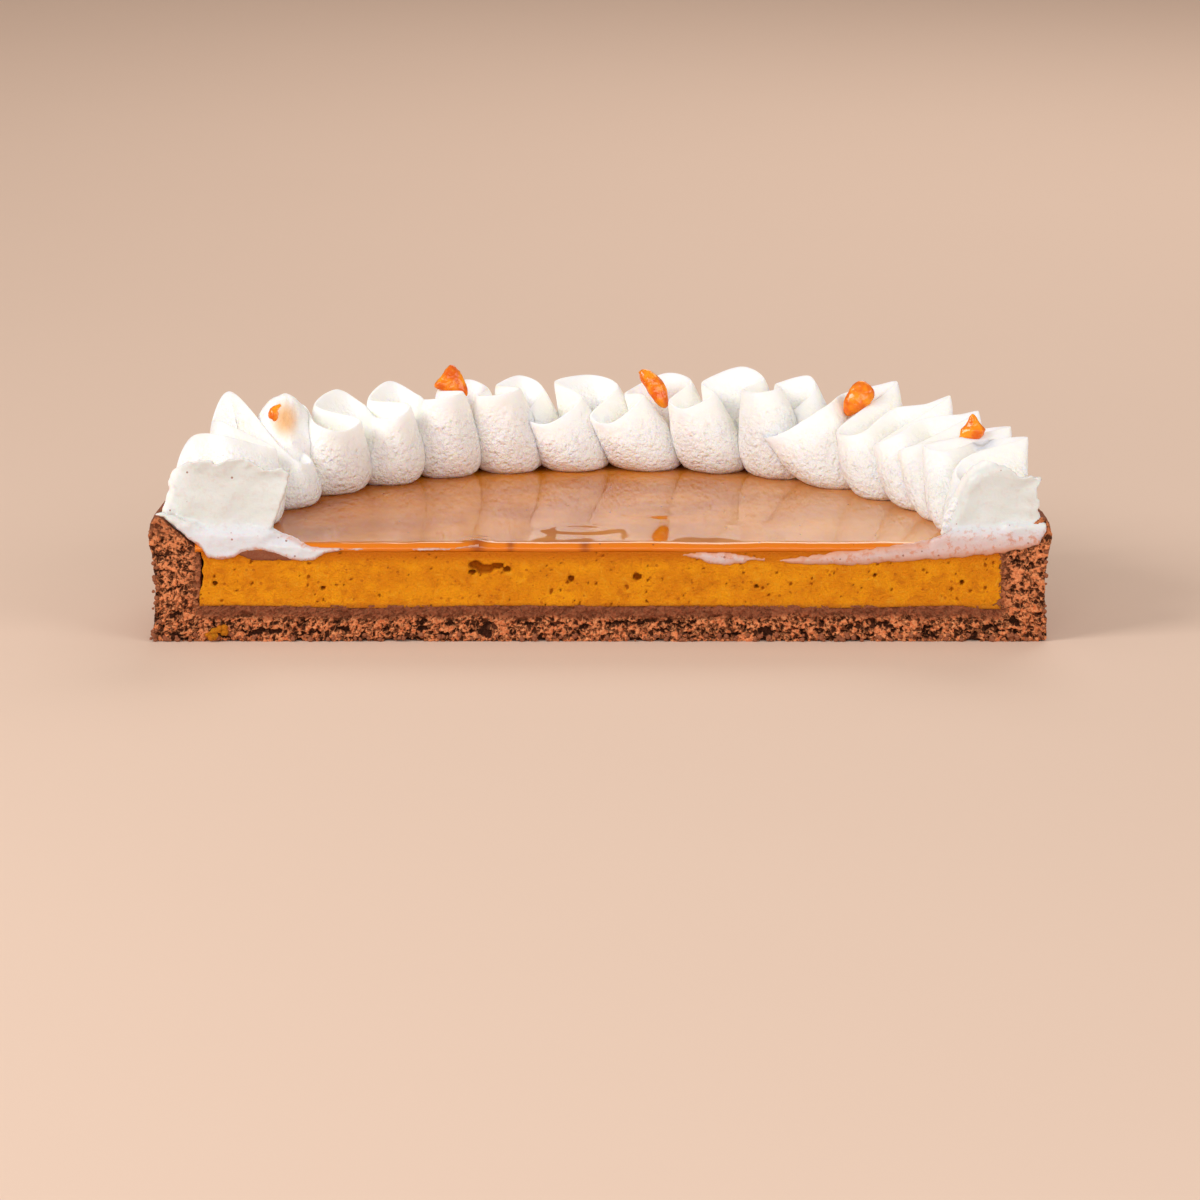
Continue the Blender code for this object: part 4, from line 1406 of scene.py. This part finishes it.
placed = b.add(
    "GeometryNodeInstanceOnPoints", None,
    {"Points": thrown.outputs[0], "Instance": crumb_bit, "Rotation": spin, "Scale": size},
)
crumb_scatter = close_tree(b, placed.outputs[0], g["Finish"])
print("crumb scatter tree:", len(b.tree.nodes), "nodes")

# %% Scatter the crumbs
CRUMBS = [  # name, the strip's four corners, crumbs a square metre, least and most size in mm, seed
    ("foot_crumbs", [(-100, -0.1, 0.25), (99.6, -0.1, 0.25), (99.6, 0.1, 1.6), (-100, 0.1, 1.6)],
     5.5e5, 0.5, 1.3, 4),
    ("corner_crumbs", [(-101.2, 0.2, 0.3), (-99.2, -0.2, 0.3), (-99.2, 0.0, 3.0), (-100.4, 0.4, 2.4)],
     1.6e6, 0.6, 1.3, 7),
    ("wall_crumbs_right", [(98.4, 0.0, 1.0), (100.2, 0.2, 1.0), (100.4, 0.2, 24.0), (98.6, 0.0, 24.0)],
     3.5e5, 0.5, 1.1, 9),
    ("wall_crumbs_left", [(-100.2, 0.2, 2.0), (-98.4, 0.0, 2.0), (-98.8, 0.0, 25.0), (-100.8, 0.2, 25.0)],
     3.5e5, 0.5, 1.1, 12),
    ("custard_crumbs", [(-88.5, -0.35, 0.9), (-83.5, -0.35, 1.3), (-84.0, -0.3, 3.4), (-87.6, -0.3, 3.2)],
     1.9e6, 0.9, 1.7, 3),
]
crumb_sets = []
for name, corners, amount, least, most, seed in CRUMBS:
    patch = raw_mesh(name, corners, [range(4)])
    finish = custard_finish if name == "custard_crumbs" else crust_finish
    grow(patch, crumb_scatter, Density=amount, Least=least, Most=most, Seed=seed, Finish=finish.material)
    stand_on_floor(patch)
    patch.data.shade_smooth()
    crumb_sets.append(patch)
print("crumbs:", [(c.name, len(c.data.polygons)) for c in crumb_sets])

# %% [markdown]
# ## Floor
# A pale matt sheet that bends up far behind the tart, so that no horizon line crosses behind it.

# %% Floor sheet
floor_finish = Finish("pale_floor", Roughness=0.75, Specular_IOR_Level=0.3)
f = floor_finish
f.paint(f.mix(f.noise(f.place, 0.004, 3.0, 0.5) * 0.5, (0.715, 0.535, 0.425), (0.755, 0.575, 0.46)))
HALF_WIDTH, BEND_START, BEND = 4.0, 1.2, 0.8  # metres
bend = [(-3.0, 0.0), (BEND_START, 0.0)]
for angle in np.linspace(0.1, 1.5, 16):
    bend.append((BEND_START + BEND * math.sin(angle), BEND - BEND * math.cos(angle)))
bend.append((BEND_START + BEND, 4.0))
mesh = bpy.data.meshes.new("floor")
floor_points = [(side, y, z) for y, z in bend for side in (-HALF_WIDTH, HALF_WIDTH)]
floor_faces = [(2 * i, 2 * i + 1, 2 * i + 3, 2 * i + 2) for i in range(len(bend) - 1)]
mesh.from_pydata(floor_points, [], floor_faces)
mesh.materials.append(floor_finish.material)
mesh.shade_smooth()
floor = put("floor", mesh)
print("floor:", len(mesh.polygons), "faces")

# %% [markdown]
# ## Hand over
# Every piece rides on the one body, and the CAD solids that it stands for are hidden. The list also
# names a finish for each piece, which nothing here uses.

# %% Ride, and hide the CAD solids
for piece, nodes, slot in [
    (crust, ["crust"], "cocoa_crust"),
    (custard, ["filling"], "pumpkin_custard"),
    (glaze, ["glaze"], "amber_glaze"),
    (ribbon, ["whipped_cream"], "whipped_cream"),
    (mound, ["whipped_cream"], "whipped_cream"),
    (left_end, ["whipped_cream"], "whipped_cream"),
    (right_end, ["whipped_cream"], "whipped_cream"),
    *[(s, [], "whipped_cream") for s in smears],
    (lens, [], "cocoa_crust"),
    *[(c, [node], "candied_brittle") for c, node in chips],
    *[(c, [], "pumpkin_custard" if c.name == "custard_crumbs" else "cocoa_crust") for c in crumb_sets],
]:
    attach(piece, "root")
    if nodes:
        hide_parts(*nodes)
